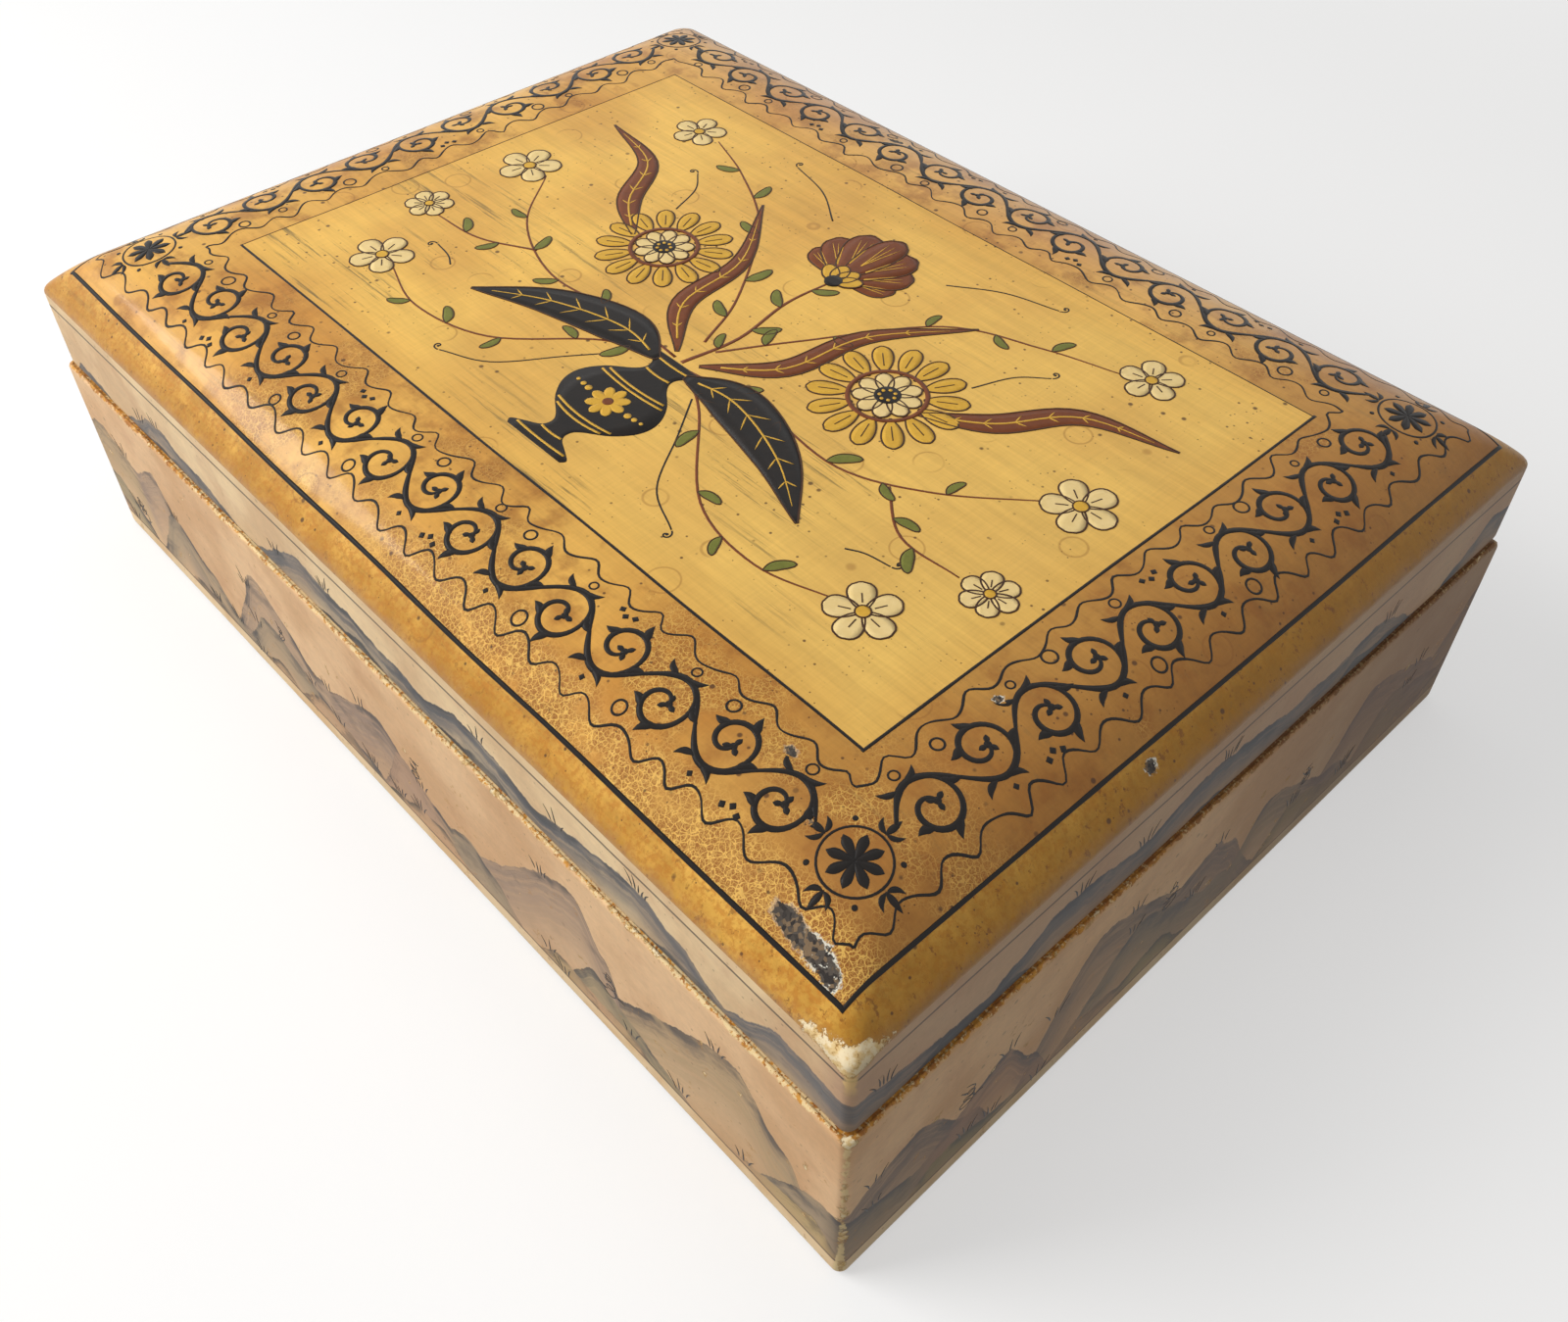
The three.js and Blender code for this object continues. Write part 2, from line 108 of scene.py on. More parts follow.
def toward(angle):
    """The unit vector of a plane at an angle, or one for each of many angles."""
    return np.stack([np.cos(angle), np.sin(angle)], -1)


def around(count, first=0.0):
    """Angles spread evenly over a turn."""
    return first + np.arange(count) * 2 * pi / count


# The plan of the box: rings that are rectangles with round corners

LONG_STEPS, SHORT_STEPS, CORNER_STEPS = 300, 226, 8
SIDE_STARTS = np.cumsum([0, LONG_STEPS, SHORT_STEPS, LONG_STEPS]) + np.arange(4) * CORNER_STEPS


def ring_template():
    """For each point of a ring, anticlockwise from the left end of the front: how far it lies along the half
    sides, from -1 to 1, and the outward normal."""
    along, normal = [], []
    corners = np.array([(1, -1), (1, 1), (-1, 1), (-1, -1)], float)
    for k, corner in enumerate(corners):
        steps = LONG_STEPS if k % 2 == 0 else SHORT_STEPS
        share = np.linspace(0, 1, steps, endpoint=False)[:, None]
        face = radians(90 * k - 90)
        turn = face + np.linspace(0, pi / 2, CORNER_STEPS, endpoint=False)
        along += [corners[k - 1] + (corner - corners[k - 1]) * share, np.tile(corner, (CORNER_STEPS, 1))]
        normal += [np.tile(toward(face), (steps, 1)), toward(turn)]
    return np.concatenate(along), np.concatenate(normal)


RING_ALONG, RING_NORMAL = ring_template()


def rings(half, insets, heights):
    """Rings stacked by inset and height: along * (half - inset - r) + normal * r, where the corner radius
    r = CORNER + HIP_SOFTNESS * inset is never more than what is left of the half side."""
    insets = np.asarray(insets)[:, None]
    left = half - insets
    shortest = np.maximum(left.min(1, keepdims=True), 0)
    radius = np.minimum(CORNER + HIP_SOFTNESS * insets, shortest)[:, :, None]
    plan = RING_ALONG * (left[:, None, :] - radius) + RING_NORMAL * radius
    tall = np.broadcast_to(np.asarray(heights)[:, None, None], plan.shape[:2] + (1,))
    return np.concatenate([plan, tall], 2)


def crown(inset):
    """Height of the lacquered lid at an inset: foot + rise * (1 - (1 - inset / width)^fullness)."""
    rest = np.clip(1 - inset / (CROWN_WIDTH + COAT), 0, 1)
    return CROWN_FOOT + (CROWN_RISE + COAT) * (1 - rest ** CROWN_FULLNESS)


def inset_at(x, y):
    """Inset of the ring through a point of the lid's plan, found by halving: the point is inside a ring when
    its signed distance to that rounded rectangle is below zero."""
    place = np.abs(np.stack([x, y], -1))
    low = np.zeros(place.shape[:-1])
    high = np.full_like(low, LID_HALF[1])
    for _ in range(24):
        middle = (low + high) / 2
        radius = np.minimum(CORNER + HIP_SOFTNESS * middle, LID_HALF[1] - middle)
        past = place - (LID_HALF - middle[..., None] - radius[..., None])
        away = np.hypot(*np.moveaxis(np.maximum(past, 0), -1, 0)) + np.minimum(past.max(-1), 0) - radius
        low, high = np.where(away < 0, middle, low), np.where(away < 0, high, middle)
    return (low + high) / 2


def plan_place(side, along, out):
    """Plan place of a point given from one side (0 front, 1 right, 2 back, 3 left): how far along it, left to
    right as seen from outside, and how far out from the middle of the box."""
    turn = radians(90 * side)
    return along * cos(turn) + out * sin(turn), along * sin(turn) - out * cos(turn)


# Meshes

def placed(name, data):
    """An object of the scene, at the origin."""
    made = bpy.data.objects.new(name, data)
    bpy.context.scene.collection.objects.link(made)
    return made


def mesh_object(name, points, faces, body, slot, smooth=True, **attributes):
    """A mesh riding on a body, with a float for each of its points in every attribute."""
    mesh = bpy.data.meshes.new(name)
    mesh.from_pydata(points.reshape(-1, 3) * MM, [], faces)
    for label, values in attributes.items():
        layer = mesh.attributes.new(label, "FLOAT", "POINT")
        layer.data.foreach_set("value", np.asarray(values, np.float32).ravel())
    mesh.polygons.foreach_set("use_smooth", np.broadcast_to(smooth, len(mesh.polygons)))
    made = placed(name, mesh)
    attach(made, body)
    return made


def grid_faces(rows, columns, skip=None):
    """Quads between neighbouring rows of closed rings, the last joined to the first, but for one skipped."""
    index = np.arange(rows * columns).reshape(rows, columns)
    right = np.roll(index, -1, 1)
    quads = np.stack([index, right, np.roll(right, -1, 0), np.roll(index, -1, 0)], -1)
    return quads[[row for row in range(rows) if row != skip]].reshape(-1, 4)


def merge_doubles(made):
    """Joins the points that a ring shrunk to a line holds twice, and drops the faces that close up."""
    work = bmesh.new()
    work.from_mesh(made.data)
    bmesh.ops.remove_doubles(work, verts=work.verts, dist=2e-6)
    bmesh.ops.dissolve_degenerate(work, edges=work.edges, dist=1e-7)
    work.to_mesh(made.data)
    work.free()


# Wear of the coat: above zero where it is gone

def run_length(points):
    """Length along each ring from the left end of the front, for noise that follows the surface."""
    step = np.linalg.norm(np.diff(points[..., :2], axis=1), axis=-1)
    return np.concatenate([np.zeros((len(points), 1)), np.cumsum(step, 1)], 1)


def corner_distance(points, half):
    """Distance in plan to the nearest corner of the box."""
    return np.hypot(half[0] - np.abs(points[..., 0]), half[1] - np.abs(points[..., 1]))


def near(points, place, size):
    """1 at a place in space, falling to 0 at size away from it."""
    return np.clip(1 - np.linalg.norm(points - np.array(place), axis=-1) / size, 0, 1)


def lid_edge_wear(points, run):
    """Bare patches along the arris under the crown, most at the front right corner, and along the foot."""
    height = points[..., 2]
    arris = 1 - np.abs(height - CROWN_FOOT) / 2.2
    foot = 1 - (height - LID_FOOT) / 0.9
    ragged = rough_noise(run, height, 5, 11)
    stretches = noise(run, 0, 45, 12)
    corner = near(points, (LID_HALF[0] - 3, -LID_HALF[1], CROWN_FOOT), 14)
    beside = near(points, (LID_HALF[0] - 16, -LID_HALF[1], CROWN_FOOT), 34)
    corners = np.clip(1 - corner_distance(points, LID_HALF) / 7, 0, 1)
    at_arris = arris * 0.55 + ragged * 0.6 + stretches * 0.35 - 1.05
    at_arris += corner * 1.35 + corners * 0.35 + beside * 0.5
    at_foot = foot * 0.8 + ragged * 0.7 + stretches * 0.2 - 0.75
    return np.maximum(at_arris, at_foot)


def lid_chips(points):
    """The deep chips in the lacquer of the border: each is an oval, ragged at its edge."""
    ragged = rough_noise(points[..., 0], points[..., 1], 3, 21)
    gone = np.full(points.shape[:-1], -1.0)
    for x, y, long, wide, angle in CHIPS:
        dx, dy = points[..., 0] - x, points[..., 1] - y
        way_x, way_y = toward(radians(angle))
        away = np.hypot((dx * way_x + dy * way_y) / long, (dy * way_x - dx * way_y) / wide)
        gone = np.maximum(gone, 1 - away + ragged * 0.35)
    return np.where(points[..., 2] > CROWN_FOOT, gone, -1.0)


# Middle, half length, half width and angle in degrees
CHIPS = (
    (LID_X - 22.0, 8.0 - LID_Y, 5.2, 1.7, -8),
    (LID_X - 16.6, 7.6 - LID_Y, 4.4, 2.0, -4),
    (LID_X - 12.4, 6.6 - LID_Y, 3.0, 1.5, -10),
    (LID_X - 46, 30 - LID_Y, 1.7, 1.0, 10),
    (LID_X - 33, 22 - LID_Y, 1.0, 0.8, 50),
    (LID_X - 29, 66 - LID_Y, 1.2, 0.9, 60),
    (LID_X - 3.6, 81 - LID_Y, 1.8, 1.2, 85),
    (-38, LID_Y - 17, 2.4, 1.2, 20),
    (12 - LID_X, 30, 2.2, 1.5, 70),
)


def base_edge_wear(points, run):
    """Bare patches along the rim, the upright corners and the foot, and at the rim's front right tip."""
    height = points[..., 2]
    ragged = rough_noise(run, height, 2.6, 31)
    rim = 1 - np.abs(RIM - height) / 1.5
    upright = 1 - corner_distance(points, BASE_HALF) / 1.8
    foot = 1 - height / 1.6
    tip = near(points, (BASE_HALF[0], -BASE_HALF[1], RIM), 4.6)
    return np.maximum.reduce([
        rim * 0.6 + ragged * 0.8 + noise(run, 0, 38, 32) * 0.4 - 0.92,
        upright * 0.8 + ragged * 0.8 - 0.42,
        foot * 0.6 + ragged * 0.8 - 0.98,
        tip * 2 - 0.62 + ragged * 0.9,
    ])


# Painted hills on the sides, one row of humps behind the other

PERIMETER = 4 * (BASE_X + BASE_Y)


def hump_row(seed, width, spread, height, vary, base):
    """Humps of one row round the whole box, drawn at random: where each peaks, how far its two flanks reach,
    its height, how hollow its flanks are, how round its peak is, a shoulder on one flank, and its tone."""
    draw = np.random.default_rng(seed)
    count = int(PERIMETER / spread)
    steep = draw.uniform(0.35, 0.7, count)
    gentle = draw.uniform(1.0, 1.7, count)
    turned = draw.uniform(size=count) < 0.35
    row = {
        "peaks": (np.arange(count) + draw.uniform(-0.3, 0.3, count)) * PERIMETER / count,
        "left": width * np.where(turned, gentle, steep),
        "right": width * np.where(turned, steep, gentle),
        "tall": height + vary * draw.uniform(-1, 1, count),
        "hollow": draw.uniform(0.95, 1.7, count),
        "round": draw.uniform(0.04, 0.3, count),
        "shoulder": draw.uniform(0.25, 0.7, count),
        "tone": draw.uniform(0, 1, count),
    }
    return seed, base, {key: values[:, None] for key, values in row.items()}


def ridge(row, run):
    """Height of a row's skyline and its tone. A hump is height * (1 - u)^hollow, where u runs from 0 at the
    rounded peak to 1 at the end of a flank, with a small bell for its shoulder. The highest hump gives the
    tone, and two of about one height share it."""
    seed, base, hump = row
    away = (run - hump["peaks"] + PERIMETER / 2) % PERIMETER - PERIMETER / 2
    u = np.abs(away) / np.where(away < 0, hump["left"], hump["right"])
    u = np.clip(np.hypot(u, hump["round"]) - hump["round"], 0, 1)
    shape = (1 - u) ** hump["hollow"] + 0.12 * np.exp(-((u - hump["shoulder"]) / 0.12) ** 2) * (away > 0)
    tall = base + hump["tall"] * shape
    share = np.exp((tall - tall.max(0)) / 2.5)
    tone = (share * hump["tone"]).sum(0) / share.sum(0)
    return tall.max(0) + 0.9 * noise(run, 0, 8, seed + 50) + 0.3 * noise(run, 0, 2.6, seed + 51), tone


BASE_HILLS = (
    hump_row(101, 42, 52, 40, 8, 3),
    hump_row(102, 36, 47, 27, 8, 2),
    hump_row(103, 30, 40, 14, 5, 1),
)
LID_HILLS = (
    hump_row(111, 40, 56, 12.5, 2.5, LID_FOOT - 0.5),
    hump_row(112, 26, 64, 6.5, 1.5, LID_FOOT - 2.5),
)


def side_run(half):
    """Length along the outline of a coat, at each of a ring's points."""
    return run_length(rings(half, [0], [0]))[0]


def hill_attributes(points, half, rows):
    """For each row of hills, how far a point lies below its skyline, and the hump's tone. The length along
    the ring goes with them, for strokes of the brush that follow the skyline."""
    run = side_run(half)
    values = {"run": np.broadcast_to(run, points.shape[:-1])}
    for k, row in enumerate(rows):
        skyline, tone = ridge(row, run)
        values[f"below_ridge_{k}"] = skyline - points[..., 2]
        values[f"tone_{k}"] = np.broadcast_to(tone, points.shape[:-1])
    return values


# The two coats

def sink(points, wear, chips):
    """Points of a coat drawn in towards the boards where it is worn or chipped: sideways up to the crown, and
    turning to straight down over its first 4 mm."""
    rise = np.clip((points[..., 2:] - CROWN_FOOT) / 4, 0, 1)
    sideways = np.append(RING_NORMAL, np.zeros((len(RING_NORMAL), 1)), 1)
    outward = sideways * (1 - rise) + np.array([0, 0, 1]) * rise
    depth = np.maximum(np.clip(wear * 2, 0, 1) * WORN_DEPTH, np.clip(chips * 3, 0, 1) * CHIP_DEPTH)
    return points - outward * depth[..., None]


def clear_of_bevel(points, fixed, limit, sign):
    """Squeezes a coat between the fixed and the limit height, so that at the back it ends just short of the
    bevelled arris: z = hinge + sign * slope * (y - hinge). sign is -1 for the base and 1 for the lid."""
    y, height = points[..., 1], points[..., 2]
    edge = np.where(y > HINGE.y, HINGE.z + sign * (BEVEL_SLOPE * (y - HINGE.y) + BEVEL_GAP), limit)
    edge = np.minimum(edge, limit) if sign < 0 else np.maximum(edge, limit)
    share = (height - fixed) / (limit - fixed)
    points[..., 2] = np.where(share > 0, fixed + (edge - fixed) * share, height)
    return points


def base_coat():
    """The painted coat round the base: a profile of insets and heights carried round the ring, with a foot
    arris, upright sides and a rounded rim, closed by a backing just outside the boards."""
    upright = [(0, height) for height in np.linspace(2, RIM - 1.6, 42)]
    profile = [(1.5, 0), (0.6, 0.35), (0.12, 1.1), *upright]
    profile += [(0, RIM - 0.9), (0.12, RIM - 0.45), (0.45, RIM - 0.06), (1.02, RIM + 0.09)]
    outer = len(profile)
    depth = COAT - COAT_BACKING
    profile += [(1.02, RIM + 0.03), (depth, RIM - 0.7), (depth, 1.25), (1.5, 0.04)]
    points = rings(BASE_HALF, *np.transpose(profile))
    wear = base_edge_wear(points, run_length(points))
    wear[outer:] = -1
    points = clear_of_bevel(sink(points, wear, -np.ones_like(wear)), RIM - 14, RIM, -1)
    return mesh_object("base_painted_coat", points, grid_faces(*points.shape[:2]), "base", "painted_wall",
                       wear=wear, **hill_attributes(points, BASE_HALF, BASE_HILLS))


def lid_coat():
    """The lacquered coat over the lid: foot, upright side, an arris that is a quadratic curve, the crown and
    the flat middle, whose last ring is a line, closed by a backing just outside the boards."""
    t = np.linspace(0, 1, 5)
    arris = (1 - t) ** 2 * (CROWN_FOOT - ARRIS) + 2 * t * (1 - t) * CROWN_FOOT + t ** 2 * crown(ARRIS)
    upright = np.linspace(LID_FOOT + 1.3, CROWN_FOOT - ARRIS, 17)[:-1]
    edge = CROWN_WIDTH + COAT
    over = np.concatenate([np.linspace(ARRIS, edge, 30)[1:], np.linspace(edge, LID_HALF[1], 7)[1:]])
    under = np.concatenate([np.linspace(LID_HALF[1], edge, 4), np.linspace(edge, 2, 9)[1:]])
    inset = np.concatenate([[1.02, 0.4, 0.1], upright * 0, t ** 2 * ARRIS, over])
    height = np.concatenate([LID_FOOT + np.array([-0.08, 0.1, 0.5]), upright, arris, crown(over)])
    outer = len(inset)
    depth = COAT - COAT_BACKING
    inset = np.concatenate([inset, under, [depth, depth, 1.02]])
    inner = [CROWN_FOOT - ARRIS, LID_FOOT + 0.7, LID_FOOT - 0.02]
    height = np.concatenate([height, crown(under) - depth, inner])
    points = rings(LID_HALF, inset, height)
    wear = lid_edge_wear(points, run_length(points))
    chips = lid_chips(points)
    wear[outer:] = chips[outer:] = -1
    points = clear_of_bevel(sink(points, wear, chips), LID_FOOT + 10, LID_FOOT, 1)
    faces = grid_faces(*points.shape[:2], outer - 1)
    made = mesh_object("lid_lacquer_coat", points, faces, "lid", "gold_lacquer",
                       wear=wear, chip=chips, **hill_attributes(points, LID_HALF, LID_HILLS))
    merge_doubles(made)
    return made


# Brush strokes: thin closed ribbons laid on the coats

LIFT = 0.02
THICK = 0.035
SUNK = -0.06
CHIPPED_OFF = 0.6


def spline(knots, steps):
    """A Catmull-Rom curve through points of a plane, with a number of steps between each two."""
    knots = np.asarray(knots, float)
    padded = np.concatenate([2 * knots[:1] - knots[1:2], knots, 2 * knots[-1:] - knots[-2:-1]])
    t = np.linspace(0, 1, steps, endpoint=False)[:, None]
    parts = []
    for a, b, c, d in zip(padded, padded[1:], padded[2:], padded[3:]):
        bend, twist = 2 * a - 5 * b + 4 * c - d, 3 * b - a - 3 * c + d
        parts.append(0.5 * (2 * b + (c - a) * t + bend * t ** 2 + twist * t ** 3))
    return np.concatenate(parts + [knots[-1:]])


def taper(count, start=0.15, middle=1.0, end=0.15, peak=0.5):
    """Widths of a brush stroke: sine-shaped, from start to middle at the peak and on to end."""
    t = np.linspace(0, 1, count)
    up, down = np.clip(t / peak, 0, 1), np.clip((1 - t) / (1 - peak), 0, 1)
    return np.where(t < peak, start + (middle - start) * np.sin(up * pi / 2),
                    end + (middle - end) * np.sin(down * pi / 2))


def left_of(path, closed=False):
    """The unit vector to the left of a path, at each of its points."""
    ahead = np.roll(path, -1, 0) - np.roll(path, 1, 0) if closed else np.gradient(path, axis=0)
    ahead /= np.maximum(np.linalg.norm(ahead, axis=1), 1e-9)[:, None]
    return np.stack([-ahead[:, 1], ahead[:, 0]], 1)


class Strokes:
    """Collects ribbons that become one mesh. A ribbon's section is a little domed: its height is
    THICK * (1 - t^4 / 4) across the width, t from -1 to 1, over two lower edges that sink into the coat."""

    def __init__(self, surface):
        self.surface = surface
        self.points, self.quads, self.tops, self.caps = [], [], [], []
        self.count = 0

    def add(self, path, half_width, across=3, raised=0.0, closed=False):
        """Lays a stroke along a path in the surface's plane. half_width is a number or one for each point."""
        path = np.asarray(path, float)
        if closed:
            path = path[:-1]
        width = np.broadcast_to(half_width, len(path))[:, None, None]
        t = np.linspace(1, -1, across)
        place = path[:, None] + left_of(path, closed)[:, None] * np.append(t, [-1, 1])[:, None] * width
        height = np.append(LIFT + raised + THICK * (1 - 0.25 * t ** 4), [SUNK, SUNK])
        solid = self.surface(place[..., 0], place[..., 1], np.broadcast_to(height, place.shape[:2]))
        stations, ring = solid.shape[:2]
        index = np.arange(stations * ring).reshape(stations, ring) + self.count
        ahead = np.roll(index, -1, 0)
        quads = np.stack([index, np.roll(index, -1, 1), np.roll(ahead, -1, 1), ahead], -1)
        if not closed:
            quads = quads[:-1]
            self.caps += [index[0, ::-1].tolist(), index[-1].tolist()]
        self.quads.append(quads.reshape(-1, 4))
        self.tops.append(np.tile(np.arange(ring) < across - 1, len(quads)))
        self.points.append(solid.reshape(-1, 3))
        self.count += stations * ring

    def build(self, name, body, slot, material):
        """Joins what was collected into one object."""
        faces = np.concatenate(self.quads).tolist() + self.caps
        smooth = np.concatenate(self.tops + [np.zeros(len(self.caps), bool)])
        made = mesh_object(name, np.concatenate(self.points), faces, body, slot, smooth)
        made.data.materials.append(material)


def on_lid(x, y, height):
    """A point over the plan of the lid, at a height above its lacquer. Paint that a chip took is sunk."""
    top = crown(inset_at(x, y))
    gone = np.clip((lid_chips(np.stack([x, y, top], -1)) - 0.12) * 12, 0, 1)
    return np.stack([x, y, top + height - gone * CHIPPED_OFF], -1)


def on_side(side, half):
    """A surface function for one upright side: along it and up."""
    def place(along, up, height):
        return np.stack([*plan_place(side, along, half[1 - side % 2] + height), up], -1)

    return place


# The painted border of the lid

BAND_MIDDLE = 22.6
VINE_SWING = 5.2
VINE_END = 32.5


def band_place(side, along, inset):
    """Plan place of a point of the border, by its side, how far it is along it and its inset."""
    return np.stack(plan_place(side, along, LID_HALF[1 - side % 2] - inset), -1)


def hand_line(start, end, wobble, seed):
    """A straight line with a slow wobble, its stations close enough to follow the crown over the hips."""
    length = np.linalg.norm(end - start)
    t = np.linspace(0, 1, int(length / 0.8))[:, None]
    way = (end - start) / length
    drift = np.array([-way[1], way[0]]) * noise(t * length, 0, 35, seed) * wobble
    return start + (end - start) * t + drift


def frame_lines(ink, corners, half_widths, seed):
    """Four hand-drawn lines between corners, anticlockwise from the front, each a little past its ends."""
    for k, half_width in enumerate(half_widths):
        start, end = corners[k], corners[(k + 1) % 4]
        way = (end - start) / np.linalg.norm(end - start) * half_width
        line = hand_line(start - way, end + way, 0.22, seed + k)
        press = 1 + 0.16 * rough_noise(np.linspace(0, 1, len(line)), 0, 0.05, seed + 10 + k)
        ink.add(line, half_width * press)


def scallops(ink, inset, swing, count, seed):
    """A thin wavy contour along each side: swing * sin, with a second harmonic that leans each wave. It dies
    away at both ends, so that two sides meet at the corner."""
    for side in range(4):
        waves = count[side % 2]
        t = np.linspace(-1, 1, waves * 12 + 1)
        phase = t * waves * pi + 1.1 * noise(t, 0, 0.1, seed + 5 + side)
        wave = np.sin(phase) + 0.12 * np.sin(2 * phase + 0.9)
        wave *= 1 + 0.25 * noise(t, 0, 0.07, seed + 7 + side)
        drift = noise(t, 0, 0.12, seed + side) * 0.7
        fade = np.clip((1 - np.abs(t)) * waves / 0.6, 0, 1)
        path = band_place(side, t * (LID_HALF[side % 2] - inset), inset + (swing * wave + drift) * fade)
        ink.add(path, 0.23 * (1 + 0.3 * noise(t, 0, 0.03, seed + 9 + side)))


def leaf_path(base, angle, length, bend, steps):
    """The midrib of a leaf from its base: straight along an angle, bowed sideways by bend * sin."""
    t = np.linspace(0, 1, steps)[:, None]
    way_x, way_y = toward(angle)
    return base + toward(angle) * length * t + np.array([-way_y, way_x]) * bend * np.sin(t * pi)


def leaf(ink, base, angle, length, half_width, bend=0.0, peak=0.42, steps=10, **more):
    """One leaf in a single press of the brush: pointed at both ends."""
    path = leaf_path(base, angle, length, bend, steps)
    ink.add(path, half_width * taper(steps, 0.08, 1, 0.02, peak), **more)


def dot(ink, centre, radius, steps=9, tip=0.06325, **more):
    """A round dot: a stroke whose width is that of a circle along its length, a little blunt at its tips."""
    turn = np.linspace(pi, 0, steps)
    path = np.asarray(centre) + np.stack([np.cos(turn) * radius, turn * 0], 1)
    ink.add(path, radius * np.maximum(np.sin(turn), tip), **more)


def diamond(ink, centre, size, angle=0.0):
    """A square dot set on its point."""
    path = centre + toward(angle) * size * np.linspace(-1, 1, 5)[:, None]
    ink.add(path, size * np.array([0.05, 0.55, 1, 0.55, 0.05]))


def circle(ink, centre, radius, half_width, steps=20, **more):
    """A small open ring."""
    ink.add(centre + radius * toward(np.linspace(0, 2 * pi, steps + 1)), half_width, closed=True, **more)


class Band:
    """One side of the border, drawn in its own coordinates: along the side, and inwards."""

    def __init__(self, strokes, side):
        self.strokes = strokes
        self.side = side

    def add(self, path, half_width, **more):
        """Lays a stroke given by along and inset."""
        self.strokes.add(band_place(self.side, path[:, 0], path[:, 1]), half_width, **more)


def spiral_bay(band, crest, hand, draw):
    """One bay of the vine. A branch leaves the stem at its crest and winds in: its radius falls from where
    the stem is to that of the bud, while it turns a little over once. Leaves stand off its outside."""
    hub = np.array([crest, BAND_MIDDLE - hand * 1.6])
    t = np.linspace(0, 1, 40)
    turn = pi / 2 - t * radians(draw.uniform(405, 440))
    radius = 1.5 + 5.3 * (1 - t) ** draw.uniform(1.0, 1.2)
    mirror = np.array([1, hand])
    path = hub + toward(turn) * radius[:, None] * mirror
    band.add(path, 0.62 * taper(len(t), 0.45, 1, 0.5, 0.45))
    floret(band, path[-1], draw)
    for share, length, lean in ((0.14, 4.2, 0.55), (0.34, 4.4, 0.5), (0.52, 3.8, 0.6)):
        k = int(share * len(t))
        way = (path[k + 1] - path[k]) * mirror
        angle = atan2(way[1], way[0]) + lean + draw.uniform(-0.15, 0.15)
        leaf(band, path[k], atan2(hand * sin(angle), cos(angle)), length, 0.9, bend=-hand * 0.6)
    ground = np.array([crest, BAND_MIDDLE + hand * VINE_SWING])
    leaf(band, ground - [1.2, 0], hand * 0.42, 5.0, 0.8, bend=-hand * 0.8)
    leaf(band, ground - [2.6, 0.3 * hand], pi - hand * 0.5, 4.0, 0.7, bend=hand * 0.7)


def floret(band, centre, draw):
    """The bud at the heart of a bay: a round dot and three small petals."""
    dot(band, centre, 0.8)
    first = draw.uniform(0, 2 * pi)
    for k in range(3):
        leaf(band, centre, first + k * 2.1, 2.2, 0.6, peak=0.6)


def vine(strokes, side, bays, seed):
    """A scrolling vine: a stem that swings about the middle of the border, a branch winding into each bay,
    and a ring or small diamonds in the gaps that are left beside the wavy contours."""
    draw = np.random.default_rng(seed)
    band = Band(strokes, side)
    reach = LID_HALF[side % 2] - VINE_END
    pitch = 2 * reach / bays
    t = np.linspace(-1, 1, bays * 14 + 1)
    phase = (t + 1) / 2 * bays * pi
    press = 0.4 + 0.3 * np.abs(np.sin(phase)) + 0.08 * noise(t, 0, 0.02, seed)
    band.add(np.stack([t * reach, BAND_MIDDLE + VINE_SWING * np.sin(phase)], 1), press)
    for k in range(bays):
        hand = 1 if k % 2 == 0 else -1
        crest = -reach + pitch * (k + 0.5)
        spiral_bay(band, crest, hand, draw)
        gap = np.array([crest + pitch * 0.5 + 2.4, BAND_MIDDLE + hand * 7.2])
        if k % 3 == 1:
            for step in (-1, 0, 1):
                diamond(band, gap + [step * 1.9, hand * (0.6 - 0.9 * (step == 0))], 0.8, 0.3 * step)
        elif k < bays - 1:
            circle(band, gap, draw.uniform(1.3, 1.7), 0.24)
        inner = np.array([crest - 0.6, BAND_MIDDLE + hand * 7.6])
        if k % 2 == 0:
            circle(band, inner, draw.uniform(0.9, 1.2), 0.2)
        else:
            diamond(band, inner, 0.7, draw.uniform(-0.4, 0.4))


def corner_rosette(strokes, side):
    """A round flower in the corner at the right end of a side: eight petals in a ring, and outside it four
    dots and four sprays of three leaves."""
    corner = band_place(side, LID_HALF[side % 2] - BAND_MIDDLE, BAND_MIDDLE)
    angles = around(8, radians(22.5))
    for angle in angles:
        leaf(strokes, corner, angle, 5.4, 1.02, peak=0.68, steps=12)
    circle(strokes, corner, 6.6, 0.24, steps=36)
    for k, angle in enumerate(angles + pi / 8):
        way = toward(angle)
        if k % 2 == 0:
            dot(strokes, corner + way * 8.2, 0.55)
        else:
            leaf(strokes, corner + way * 7.2, angle, 4.2, 0.7)
            for lean in (-0.9, 0.9):
                leaf(strokes, corner + way * 7.4, angle + lean, 3.4, 0.55, bend=lean * 0.7)


